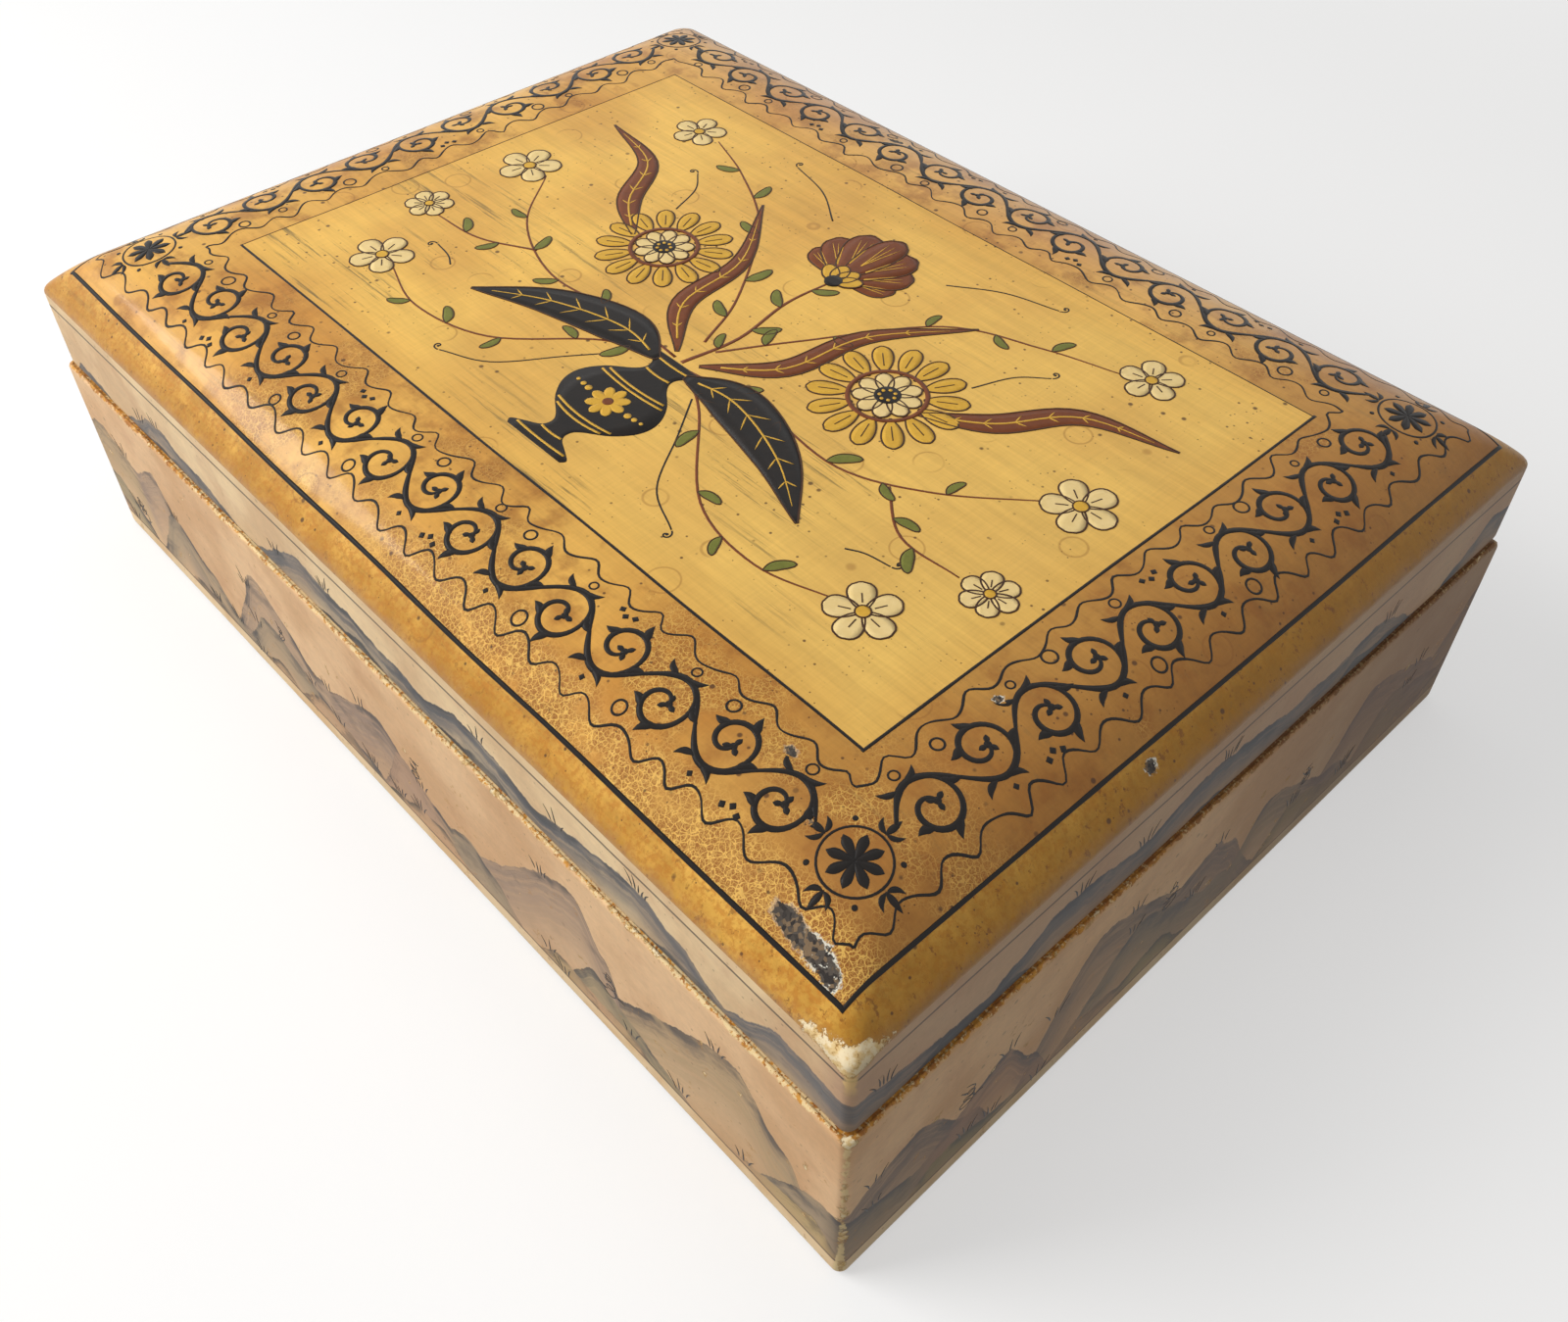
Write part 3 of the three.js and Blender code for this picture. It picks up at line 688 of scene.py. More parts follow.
def border(ink_paint):
    """The black linework of the border: frame lines, wavy contours, the vine and the corner rosettes."""
    lines = Strokes(on_lid)
    frame_lines(lines, OUTER_LINE, (0.42, 0.38, 0.36, 0.36), 201)
    frame_lines(lines, PANEL, (0.32, 0.34, 0.13, 0.11), 221)
    scallops(lines, 12.3, 1.6, (26, 18), 241)
    scallops(lines, 33.0, -1.4, (22, 14), 261)
    lines.build("border_lines", "lid", "gold_lacquer", ink_paint)
    flourish = Strokes(on_lid)
    for side, bays in enumerate((15, 10, 15, 10)):
        vine(flourish, side, bays, 281 + side)
        corner_rosette(flourish, side)
    flourish.build("border_vine", "lid", "gold_lacquer", ink_paint)


# The bouquet in the panel

LAYER = 0.045


def outlined(sets, fill, path, widths, layer, line):
    """A filled shape given by its middle line and half widths, with a thin dark line round its edge."""
    sets[fill].add(path, widths, across=5, raised=layer * LAYER)
    if line:
        away = left_of(path) * widths[:, None]
        edge = np.concatenate([path + away, (path - away)[::-1], path[:1] + away[:1]])
        sets["line"].add(edge, line, closed=True, raised=(layer + 0.6) * LAYER)


def petal(sets, fill, base, angle, length, half_width, layer=0, peak=0.6, bend=0.0, blunt=0.35, line=0.2):
    """A rounded petal: narrow where it starts, widest at its peak, and blunt at the end."""
    t = np.linspace(0, 1, 15)
    rise = np.sin(np.clip(t / peak, 0, 1) * pi / 2) ** 0.8
    fall = np.sqrt(np.clip(1 - (np.clip(t - peak, 0, 1) / (1 - peak)) ** 2.2, blunt ** 4, 1))
    path = leaf_path(base, angle, length, bend, len(t))
    outlined(sets, fill, path, half_width * np.maximum(rise * fall, 0.06), layer, line)


def crease(sets, centre, reach, start, end, half_width, layer):
    """A fine line along a petal, from one share of its reach to another."""
    sets["line"].add(centre + reach * np.linspace(start, end, 6)[:, None], half_width, raised=layer * LAYER)


def heading(path, k):
    """The angle at which a path goes on from its point k."""
    return atan2(*(path[k + 1] - path[k])[::-1])


def long_leaf(sets, fill, half_width, layer, knots):
    """A long pointed leaf along a curve through knots, with a gold vein down it and short ones off that."""
    path = spline(knots, 8)
    widths = half_width * taper(len(path), 0.12, 1, 0.04, 0.4)
    outlined(sets, fill, path, widths, layer, 0.2)
    raised = (layer + 1) * LAYER
    inner = path[2:-2]
    sets["gold"].add(inner, 0.28 * taper(len(inner), 1, 0.9, 0.3), raised=raised)
    for k in range(4, len(path) - 5, 3):
        for lean in (-0.75, 0.75):
            angle = heading(path, k) + lean
            leaf(sets["gold"], path[k], angle, widths[k] * 0.85, 0.2, raised=raised, steps=6)


def disc(ink, centre, radius, layer):
    """A larger filled round, on a layer of the bouquet."""
    dot(ink, centre, radius, 17, 0.05, across=5, raised=layer * LAYER)


def big_rosette(sets, centre, radius, draw):
    """A gold rosette: outer petals, a brown ring, cream inner petals, and a black eye with gold seeds."""
    centre = np.array(centre)
    first = draw.uniform(0, 1)
    for angle in around(14, first):
        reach = toward(angle) * radius
        petal(sets, "gold", centre + reach * 0.45, angle, radius * 0.56, radius * 0.135, 1, 0.62)
        crease(sets, centre, reach, 0.6, 0.86, 0.13, 2.4)
    circle(sets["brown"], centre, radius * 0.49, 0.55, steps=48, raised=2.6 * LAYER)
    for angle in around(9, first + 0.2):
        petal(sets, "cream", centre, angle, radius * 0.44, radius * 0.115, 3, 0.66)
    disc(sets["black"], centre, radius * 0.17, 4.4)
    for angle in around(7, first):
        dot(sets["gold"], centre + toward(angle) * radius * 0.1, 0.45, raised=5.6 * LAYER)


def blossom(sets, centre, radius, petals, draw):
    """A small open flower: rounded cream petals, each with a fine crease, round a gold eye."""
    centre = np.array(centre)
    for k, angle in enumerate(around(petals, draw.uniform(0, 2 * pi))):
        petal(sets, "cream", centre, angle, radius, radius * 0.36, 1 + 0.4 * (k % 2), 0.66)
        crease(sets, centre, toward(angle) * radius, 0.3, 0.62, 0.14, 2.9)
    disc(sets["gold"], centre, radius * 0.2, 3.2)
    circle(sets["line"], centre, radius * 0.2, 0.17, raised=4.2 * LAYER)


def crest_flower(sets, base):
    """The brown flower on top: a fan of petals, the outer ones laid first, over a gold cup."""
    base = np.array(base)
    for lean, length, width in ((68, 15, 4.4), (-68, 15, 4.4), (44, 19, 5.2), (-44, 19, 5.2), (21, 22, 5.2),
                                (-21, 22, 5.2), (0, 24, 4.6)):
        layer = 3.4 - abs(lean) / 24
        angle = radians(90 + lean)
        petal(sets, "brown", base, angle, length, width, layer, 0.68, bend=-lean * 0.02)
        start = base + toward(angle) * length * 0.35
        for drift in (-0.09, 0.0, 0.09):
            end = base + toward(angle + drift) * length * 0.86
            line = start + (end - start) * np.linspace(0, 1, 8)[:, None]
            sets["gold"].add(line, 0.16 * taper(8, 1, 0.8, 0.2), raised=(layer + 1.1) * LAYER)
    for lean in (-52, -18, 18, 52):
        petal(sets, "gold", base - [0, 1.5], radians(90 + lean), 7.5, 2.2, 4.6, 0.5)
    disc(sets["black"], base - [0, 1.2], 2.3, 5.8)


# Heights in the panel with the vase's half widths, and the heights of its gold bands with how far each bows
VASE = ((-62, 9.5), (-60.6, 10.2), (-59, 7.6), (-57, 3.9), (-54.6, 3.1), (-52.4, 4.6), (-48.5, 10),
        (-43.5, 13.6), (-38.5, 13.9), (-33.5, 11), (-29.5, 6.2), (-27, 4.5), (-24.6, 5.0), (-22, 7.9),
        (-20.6, 9.2))
VASE_BANDS = ((-60, 0.3), (-57, 0.3), (-49.6, 1.0), (-48, 1.0), (-34.6, 0.8), (-33.2, 0.8), (-27, 0.4),
              (-22.2, 0.5))
MIDDLE = 2


def vase(sets):
    """The black vase: a turned outline as half widths up its middle, with gold bands and a gold floret."""
    up, half = spline(VASE, 5).T
    sets["black"].add(np.stack([up * 0 + MIDDLE, up], 1), half, across=7)
    t = np.linspace(-1, 1, 13)
    for height, bow in VASE_BANDS:
        across = t * np.interp(height, up, half) * 0.9
        sets["gold"].add(np.stack([MIDDLE + across, height - bow * (1 - t * t)], 1), 0.3, raised=LAYER)
    flower = (MIDDLE, -41.4)
    for angle in around(8):
        petal(sets, "gold", flower, angle, 5.2, 1.3, 1, 0.6, line=0)
    disc(sets["brown"], flower, 1.3, 2.2)
    for hand in (-1, 1):
        for k, size in enumerate((0.9, 0.7, 0.5)):
            dot(sets["gold"], (MIDDLE + hand * (7 + k * 2.1), -41.4 + 0.2 * k), size, raised=LAYER)


def leafy_stem(sets, knots, draw, half_width=0.3):
    """A thin stem along a curve through knots, with leaves set off alternately on its two sides."""
    path = spline(knots, 8)
    sets["brown"].add(path, half_width * taper(len(path), 1.25, 1, 0.6))
    every = 5
    for k in range(every, len(path) - 3, every):
        way = path[k + 1] - path[k - 1]
        hand = 1 if (k // every) % 2 else -1
        length = 7 * draw.uniform(0.8, 1.15)
        angle = atan2(way[1], way[0]) + hand * draw.uniform(0.7, 0.95)
        petal(sets, "olive", path[k], angle, length, length * 0.19, 0.6, 0.42, hand * 0.6, 0.05, 0.15)


def tendril(sets, knots, draw):
    """A fine black line along a curve, which then winds in, turning faster and faster, to a small knob."""
    path = spline(knots, 8)
    sets["black"].add(path, 0.22 * taper(len(path), 1, 0.9, 0.8))
    hand = 1 if draw.uniform() > 0.5 else -1
    t = np.linspace(0, 1, 26)[:, None]
    turn = heading(path, -2) + hand * 2 * pi * t[:, 0] ** 1.35
    curl = path[-1] + np.cumsum(toward(turn) * 0.304 * (1 - 0.72 * t), 0)
    sets["black"].add(curl, 0.2 * taper(len(t), 0.9, 1, 0.75, 0.3))
    dot(sets["black"], curl[-1], 0.38)


# The bouquet's right half, measured from its middle; the left half mirrors it, but for chances of the hand
STEMS = (
    ((4, -21), (18, -29), (40, -47), (62, -53), (80, -46)),
    ((3, -20), (24, -17), (50, -20), (72, -12), (90, 6)),
    ((3, -12), (12, 6), (30, 34), (52, 46), (72, 52)),
    ((62, -16), (76, -24), (92, -24)),
)
BLOSSOMS = ((86, -46, 8.2, 5), (95, 8, 8.6, 5), (78, 54, 7.6, 5), (98, -24, 6.4, 6))
LONG_LEAVES = (
    ("black", 6.6, 1.2, ((5, -23), (20, -21), (40, -27), (58, -38))),
    ("brown", 3.2, 0.8, ((4, -18), (18, -4), (22, 18), (38, 40))),
    ("brown", 3.4, 0.8, ((50, 6), (64, 16), (76, 32), (98, 38))),
)
TENDRILS = (
    ((12, -27), (20, -38), (30, -52), (42, -58)),
    ((52, 22), (56, 32), (62, 38)),
    ((70, -36), (74, -34), (80, -33)),
    ((20, 48), (32, 56), (46, 60)),
)


def bouquet(paints):
    """Flowers in a vase: two gold rosettes, a brown flower on top, black leaves below, long brown leaves,
    cream blossoms on leafy stems, and tendrils."""
    sets = {fill: Strokes(on_lid) for fill in paints}
    draw = np.random.default_rng(401)
    for hand in (-1, 1):
        mirror = np.array([hand, 1])
        for knots in STEMS:
            leafy_stem(sets, [MIDDLE, 0] + mirror * knots + draw.uniform(-1.5, 1.5, (len(knots), 2)), draw)
        for x, y, radius, petals in BLOSSOMS:
            place = (MIDDLE + hand * x + draw.uniform(-1, 1), y + draw.uniform(-1, 1))
            blossom(sets, place, radius, petals, draw)
        for fill, half_width, layer, knots in LONG_LEAVES:
            long_leaf(sets, fill, half_width, layer, [MIDDLE, 0] + mirror * knots)
        for knots in TENDRILS:
            tendril(sets, [MIDDLE, 0] + mirror * knots, draw)
    leafy_stem(sets, [(2, -20), (4, -4), (1, 14), (2, 30)], draw, 0.45)
    big_rosette(sets, (-38, 8), 17.5, draw)
    big_rosette(sets, (43, 6), 18.5, draw)
    crest_flower(sets, (2, 30))
    vase(sets)
    for fill, strokes in sets.items():
        strokes.build("bouquet_" + fill, "lid", "gold_lacquer", paints[fill])


# Grass on the painted hills

TUFT_SPREAD = 26
SHRUB_SPREAD = 62


def tufts(ink_paint):
    """Tufts of grass along the ridges of the sides, and a few shrubs on the middle hills of the base."""
    draw = np.random.default_rng(501)
    for body, slot, half, rows, low, high in (
        ("base", "painted_wall", BASE_HALF, BASE_HILLS, 6, RIM - 9),
        ("lid", "painted_rail", LID_HALF, LID_HILLS, LID_FOOT + 3.4, CROWN_FOOT - 9),
    ):
        run = side_run(half)
        for side in range(4):
            blades = Strokes(on_side(side, half))
            reach = half[side % 2] - CORNER
            middle = run[SIDE_STARTS[side]] + reach
            for row in rows:
                for along in np.arange(8 - reach, reach - 8, TUFT_SPREAD):
                    along = np.clip(along + draw.uniform(-0.4, 0.4) * TUFT_SPREAD, 6 - reach, reach - 6)
                    up = np.interp(middle + along, run, ridge(row, run)[0])
                    if draw.uniform() < 0.75 and low < up < high:
                        tuft(blades, along, up, draw)
            for along in np.arange(30 - reach, reach - 30, SHRUB_SPREAD) if body == "base" else ():
                along += draw.uniform(-14, 14)
                up = np.interp(middle + along, run, ridge(rows[1], run)[0])
                if low < up < RIM - 17:
                    shrub(blades, along, up, draw)
            blades.build(f"{body}_grass_{side + 1}", body, slot, ink_paint)


def tuft(blades, along, up, draw):
    """One tuft: three to five thin bent blades side by side, fanned upwards."""
    count = draw.integers(3, 6)
    for k in range(count):
        share = (k + 0.5) / count - 0.5
        base = (along + share * 4.4, up - 0.3 + draw.uniform(-0.5, 0.5))
        angle = pi / 2 - share * 1.1 + draw.uniform(-0.15, 0.15)
        leaf(blades, base, angle, draw.uniform(2.6, 5.4), 0.2, bend=share * 0.9, peak=0.3, steps=6)


def shrub(blades, along, up, draw):
    """A scribbled shrub: a fine line that loops upwards, smaller towards the top, and hairs beside it."""
    t = np.linspace(0, 1, 60)
    size = draw.uniform(1.5, 2.4)
    turn = t * draw.uniform(4.5, 6.5) * pi + draw.uniform(0, 6)
    reach = size * (1 - 0.6 * t) * (1 + 0.35 * noise(t, 0, 0.09, int(draw.integers(1000))))
    across = along + draw.uniform(-1.5, 1.5) * t + np.cos(turn) * reach
    path = np.stack([across, up + size * (0.4 + 3.4 * t) + np.sin(turn) * reach * 0.8], 1)
    blades.add(path, 0.14)
    for _ in range(draw.integers(5, 9)):
        base = path[draw.integers(len(path))]
        angle, length = draw.uniform(-0.2, pi + 0.2), draw.uniform(1.6, 3.4)
        leaf(blades, base, angle, length, 0.15, bend=draw.uniform(-0.4, 0.4), peak=0.3, steps=6)


# Node trees

def colour(shade, light=1.0):
    """A colour given in the usual 0 to 255 steps, made linear, with part of its light."""
    shares = np.array(shade) / 255
    linear = np.where(shares <= 0.04045, shares / 12.92, ((shares + 0.055) / 1.055) ** 2.4)
    return (*map(float, linear * light), 1.0)


def operator(operation, last=False):
    """A method that adds a Math node, with its own value as the first of the inputs, or as the last."""
    def apply(self, *others):
        inputs = (*others, self) if last else (self, *others)
        return self.graph.node("ShaderNodeMath", {"operation": operation}, dict(enumerate(inputs)))

    return apply


class Value:
    """A shader socket. Each operator adds the Math node that works it out."""

    def __init__(self, graph, socket):
        self.graph = graph
        self.socket = socket

    __add__ = operator("ADD")
    __radd__ = operator("ADD", last=True)
    __sub__ = operator("SUBTRACT")
    __rsub__ = operator("SUBTRACT", last=True)
    __mul__ = operator("MULTIPLY")
    __rmul__ = operator("MULTIPLY", last=True)
    __abs__ = operator("ABSOLUTE")
    least = operator("MINIMUM")
    most = operator("MAXIMUM")

    def above(self, low, high):
        """0 below low, 1 above high, smooth between; the other way round if low is the larger."""
        inputs = {"Value": self, "From Min": low, "From Max": high}
        return self.graph.node("ShaderNodeMapRange", {"interpolation_type": "SMOOTHSTEP"}, inputs)


class Graph:
    """A node tree, built from code."""

    def __init__(self, tree):
        self.tree = tree
        tree.nodes.clear()

    def node(self, kind, settings=None, inputs=None, output=0):
        """Adds a node: its settings first, then the values or links of its sockets."""
        made = self.tree.nodes.new(kind)
        for name, value in (settings or {}).items():
            setattr(made, name, value)
        for name, value in (inputs or {}).items():
            if isinstance(value, Value):
                self.tree.links.new(value.socket, made.inputs[name])
            else:
                made.inputs[name].default_value = value
        return Value(self, made.outputs[output]) if made.outputs else None


class Finish(Graph):
    """The node tree of one material, with its object coordinates in millimetres."""

    def __init__(self, name):
        self.material = bpy.data.materials.new(name)
        self.material.use_nodes = True
        super().__init__(self.material.node_tree)
        self.place = self.vector("MULTIPLY", self.node("ShaderNodeTexCoord", output="Object"), (1 / MM,) * 3)
        split = self.node("ShaderNodeSeparateXYZ", inputs={0: self.place}).socket.node
        self.x, self.y, self.z = (Value(self, socket) for socket in split.outputs)

    def vector(self, operation, first, second):
        return self.node("ShaderNodeVectorMath", {"operation": operation}, {0: first, 1: second})

    def joined(self, x, y, z):
        return self.node("ShaderNodeCombineXYZ", inputs={0: x, 1: y, 2: z})

    def stretched(self, x, y, z):
        """The coordinates multiplied along each axis, for grain and streaks."""
        return self.vector("MULTIPLY", self.place, (x, y, z))

    def shifted(self, x, y):
        return self.vector("ADD", self.place, (x, y, 0))

    def noise(self, size, detail=3, roughness=0.55, place=None, distortion=0.0, output=0):
        """Noise from 0 to 1 whose features are about size millimetres wide."""
        inputs = {"Vector": place or self.place, "Scale": 1 / size, "Detail": detail, "Roughness": roughness,
                  "Distortion": distortion}
        return self.node("ShaderNodeTexNoise", inputs=inputs, output=output)

    def cells(self, size, feature="F1", place=None, output="Distance", randomness=1.0):
        """Voronoi cells about size millimetres wide; the distance is in cells."""
        inputs = {"Vector": place or self.place, "Scale": 1 / size, "Randomness": randomness}
        return self.node("ShaderNodeTexVoronoi", {"feature": feature}, inputs, output)

    def attribute(self, name):
        return self.node("ShaderNodeAttribute", {"attribute_name": name}, output="Fac")

    def layers(self, base, *coats):
        """Colours laid over a base one after the other, each by its factor from 0 to 1. A colour is a socket,
        three steps from 0 to 255, or what colour() gives."""
        for factor, shade in coats:
            first, second = (colour(given) if isinstance(given, tuple) and len(given) == 3 else given
                             for given in (base, shade))
            settings = {"data_type": "RGBA", "clamp_factor": True}
            base = self.node("ShaderNodeMix", settings, {0: factor, 6: first, 7: second}, output=2)
        return base

    def inside(self, corners):
        """How far a point lies inside a shape with straight sides and anticlockwise corners: the least
        distance to a side."""
        least = None
        for (ax, ay), (bx, by) in zip(corners.tolist(), np.roll(corners, -1, 0).tolist()):
            length = hypot(bx - ax, by - ay)
            left_x, left_y = (ay - by) / length, (bx - ax) / length
            away = self.x * left_x + self.y * left_y - (ax * left_x + ay * left_y)
            least = away if least is None else least.least(away)
        return least

    def darken(self, shade, factor):
        """A colour multiplied by a grey value."""
        return self.vector("MULTIPLY", shade, self.joined(factor, factor, factor))

    def bump(self, height, distance):
        """A bumped normal; the height is in distance, a length in millimetres."""
        inputs = {"Height": height, "Distance": distance * MM, "Strength": 1.0}
        return self.node("ShaderNodeBump", inputs=inputs)

    def finish(self, base, roughness, normal, metallic=0.0, coat=(0.0, 0.03), specular=0.5):
        """Closes the tree with a Principled shader. A coat is (weight, roughness)."""
        shader = self.node("ShaderNodeBsdfPrincipled", inputs={
            "Base Color": base, "Roughness": roughness, "Metallic": metallic, "Specular IOR Level": specular,
            "Normal": normal, "Coat Weight": coat[0], "Coat Roughness": coat[1]})
        self.node("ShaderNodeOutputMaterial", inputs={"Surface": shader})
        return self.material


# Materials

BLACK = (12, 10, 9)
CREAM = (244, 224, 184)
GESSO = (226, 222, 206)
CHIP_FLOOR = (84, 76, 68)
FOOT_STRIPE = 6.3
FOOT_LINE = 6.5
TOP_LINE = 4.6


def worn(g, base):
    """The bare cream gesso where the wear is above zero: ragged and yellowed at its edge, stained inside.
    With it come how bare a place is and the noise of the ragged edge."""
    ragged = g.noise(1.1, 4, 0.7)
    wear = g.attribute("wear") + (ragged - 0.5) * 1.3
    gone = wear.above(0.0, 0.1)
    stain = g.noise(1.9, 4, 0.7)
    stains = (stain.above(0.44, 0.56), (228, 196, 138)), (stain.above(0.58, 0.68), (172, 128, 66))
    yellowed = (wear.above(-0.16, 0.02) * 0.6, (178, 124, 50))
    return g.layers(base, yellowed, (gone, g.layers(CREAM, *stains))), gone, ragged


def gold_lacquer():
    """The lid's crown: a yellow panel, a browner border and a mustard outer slope, under yellowed varnish
    with streaks, a weave of brush marks, crazing, specks, rubbed smudges, faint rings and chips. Painted
    shade darkens the right end, the foot of the slope and the panel's near right, and a painted sheen lies
    on the back of the border and just above the arris."""
    g = Finish("gold_lacquer")
    panel_edge = g.inside(PANEL)
    panel = panel_edge.above(-0.2, 0.2)
    slope = g.inside(OUTER_LINE).above(0.3, -0.3)
    clouds = g.noise(46, 3, 0.5)
    mottle = g.noise(9, 4, 0.6)
    blots = g.noise(2.0, 5, 0.75, g.stretched(1, 1, 0.5))
    grain = g.noise(3.2, 4, 0.6, g.stretched(0.09, 1, 1))
    fine = g.noise(0.9, 3, 0.6)
    # to_right grows from 0 to 1 towards the right end of the lid; below, it carries painted shade there.
    to_right = g.x.above(60, 140)
    above_foot = g.z - CROWN_FOOT
    yellow = g.layers(
        (236, 188, 92),
        (clouds.above(0.35, 0.68), (216, 164, 78)),
        # Painted shade: the panel is a little darker towards its near right corner.
        ((g.x * 0.006 - g.y * 0.004).above(-0.5, 0.9) * 0.6, (224, 184, 98)),
        (panel_edge.above(14, 0) * 0.3, (206, 150, 62)),
    )
    brown = g.layers(
        (224, 172, 82),
        (clouds.above(0.3, 0.7), (190, 130, 52)),
        (mottle.above(0.46, 0.7) * 0.65, (146, 88, 30)),
        # Painted shade: the border browns and darkens towards the right end.
        (to_right * 0.72, (138, 86, 33)),
        # Painted reflection: a pale pinkish haze over the back of the border.
        (g.y.above(60, 100) * (1 - to_right) * 0.35, (216, 174, 138)),
    )
    mustard = g.layers(
        (218, 168, 74),
        (mottle.above(0.3, 0.7), (180, 130, 48)),
        (g.noise(1.3, 4, 0.7).above(0.44, 0.6) * 0.6, (178, 108, 30)),
        # Painted shade: the slope darkens towards the arris, less so on the right, and darkens at its right
        # end.
        (above_foot.above(6.5, 0.5) * (0.5 - 0.3 * to_right), (172, 116, 32)),
        (to_right * g.x.above(138, 146) * (0.6 + 0.25 * g.y.above(-80, 0)), (156, 106, 12)),
        (blots.above(0.58, 0.64) * (0.35 + 0.3 * to_right), (112, 62, 18)),
    )
    base = g.darken(g.layers(brown, (panel, yellow), (slope, mustard)), 0.9 + 0.18 * grain.above(0.2, 0.8))
    weave = g.noise(0.6, 3, 0.6, g.stretched(0.05, 1, 1))
    weave = weave + 0.7 * g.noise(0.6, 3, 0.6, g.stretched(1, 0.06, 1))
    crazing, broken = crazed(g, panel, slope)
    # low is a painted sheen: greyish haze in patches just above the arris.
    low = above_foot.above(2.6, -0.4) * g.noise(3, 4, 0.7).above(0.3, 0.6)
    base = g.layers(
        g.darken(base, 0.8 + 0.25 * weave),
        (broken * 0.72, (140, 82, 26)),
        (crazing * 0.75, (238, 192, 98)),
        (specks(g) * 0.85, (70, 40, 18)),
        (smudges(g, panel), (104, 90, 54)),
        (ring_stains(g) * 0.4, (140, 88, 34)),
        (low * 0.35, (168, 128, 92)),
    )
    base, gone, ragged = worn(g, base)
    base, hole, rim, rubble = chipped(g, base, ragged)
    height = grain * 0.2 + fine * 0.15 + weave * 0.2 - crazing * 0.3 - gone * 1.2 - rim * 0.6 - hole * 1.6
    height = height + hole * (ragged + rubble) * 1.4 + gone * ragged * 0.8 + g.noise(14, 2, 0.5) * 2.0
    rough = 0.36 + 0.16 * mottle + gone * 0.3 + hole * 0.4
    return g.finish(base, rough, g.bump(height, 0.12), coat=(0.2, 0.1), specular=0.22)


def chipped(g, base, ragged):
    """The chips: a grey and brown floor of rubble, white gesso left round the rim, most of it at the bare
    end. With them come the hole, its rim and the rubble."""
    chip = g.attribute("chip") + (ragged - 0.5) * 1.3
    bare_end = (g.x + g.y * 0.8).above(47, 52)
    rim = chip.above(-0.2, 0.0) * g.noise(2.5, 3, 0.6).above(0.42, 0.52) * (0.25 + 0.75 * bare_end)
    hole = chip.above(0.02, 0.14)
    rubble = g.cells(0.75, place=g.shifted(3.3, 0.7), output="Color")
    inside = g.layers(
        CHIP_FLOOR,
        (rubble.above(0.3, 0.6), (48, 43, 40)),
        (rubble.above(0.66, 0.74) * 0.8, (136, 112, 84)),
        (g.noise(1.4, 3, 0.6).above(0.6, 0.66) * bare_end, GESSO),
    )
    return g.layers(base, (rim, GESSO), (hole, inside)), hole, rim, rubble


def crazed(g, panel, slope):
    """Fine pale crazing of the varnish on the border, most on the front, and where it darkened between."""
    bent = g.noise(1.25, 2, 0.5, output="Color")
    bent = g.vector("ADD", g.place, g.vector("MULTIPLY", bent, (1.1, 1.1, 1.1)))
    coarse = g.cells(1.2, "DISTANCE_TO_EDGE", bent).above(0.09, 0.03)
    fine = g.cells(0.62, "DISTANCE_TO_EDGE", bent).above(0.1, 0.04)
    from_front = float(LID_HALF[1]) + g.y
    front = from_front.above(60, 20) * g.x.above(-110, -30)
    patches = g.noise(22, 3, 0.6).above(0.48, 0.62)
    beside_line = from_front.above(19, 11) * g.x.above(-50, 30) * g.noise(13, 3, 0.6).above(0.3, 0.5)
    everywhere = g.noise(18, 3, 0.6).above(0.56, 0.7) * 0.45
    where = (1 - panel) * (1 - slope) * (front * patches * 0.9).most(everywhere).most(beside_line)
    return coarse.most(fine * 0.55) * where, where * g.noise(4.5, 4, 0.65).above(0.3, 0.52)


def specks(g):
    """Dark specks of three sizes, thinned out by a slow noise."""
    spotted = 0
    sizes = (3.1, 0.14, 0.46, 0.58), (6.7, 0.11, 0.44, 0.56), (1.5, 0.15, 0.52, 0.62)
    for size, radius, low, high in sizes:
        place = g.shifted(size * 7, size * 3)
        spot = g.cells(size, place=place).above(radius, radius * 0.5)
        spotted = (spot * g.noise(size * 6, 2, 0.5, place).above(low, high)).most(spotted)
    return spotted


def smudges(g, panel):
    """Grey rubbed streaks along the panel, as long thin noise inside slow patches."""
    thin = g.noise(1.0, 5, 0.75, g.stretched(0.028, 0.75, 1)).above(0.53, 0.66)
    patches = g.noise(30, 2, 0.5, g.stretched(0.55, 1, 1)).above(0.46, 0.6)
    return thin * patches * (0.2 + 0.65 * panel * (g.y.above(10, -25) * g.x.above(95, 60)))


def ring_stains(g):
    """Faint rings left in the varnish, one in some of the cells."""
    return abs(g.cells(15, randomness=0.9) - 0.24).above(0.022, 0.006) * g.noise(24, 2, 0.5).above(0.5, 0.6)


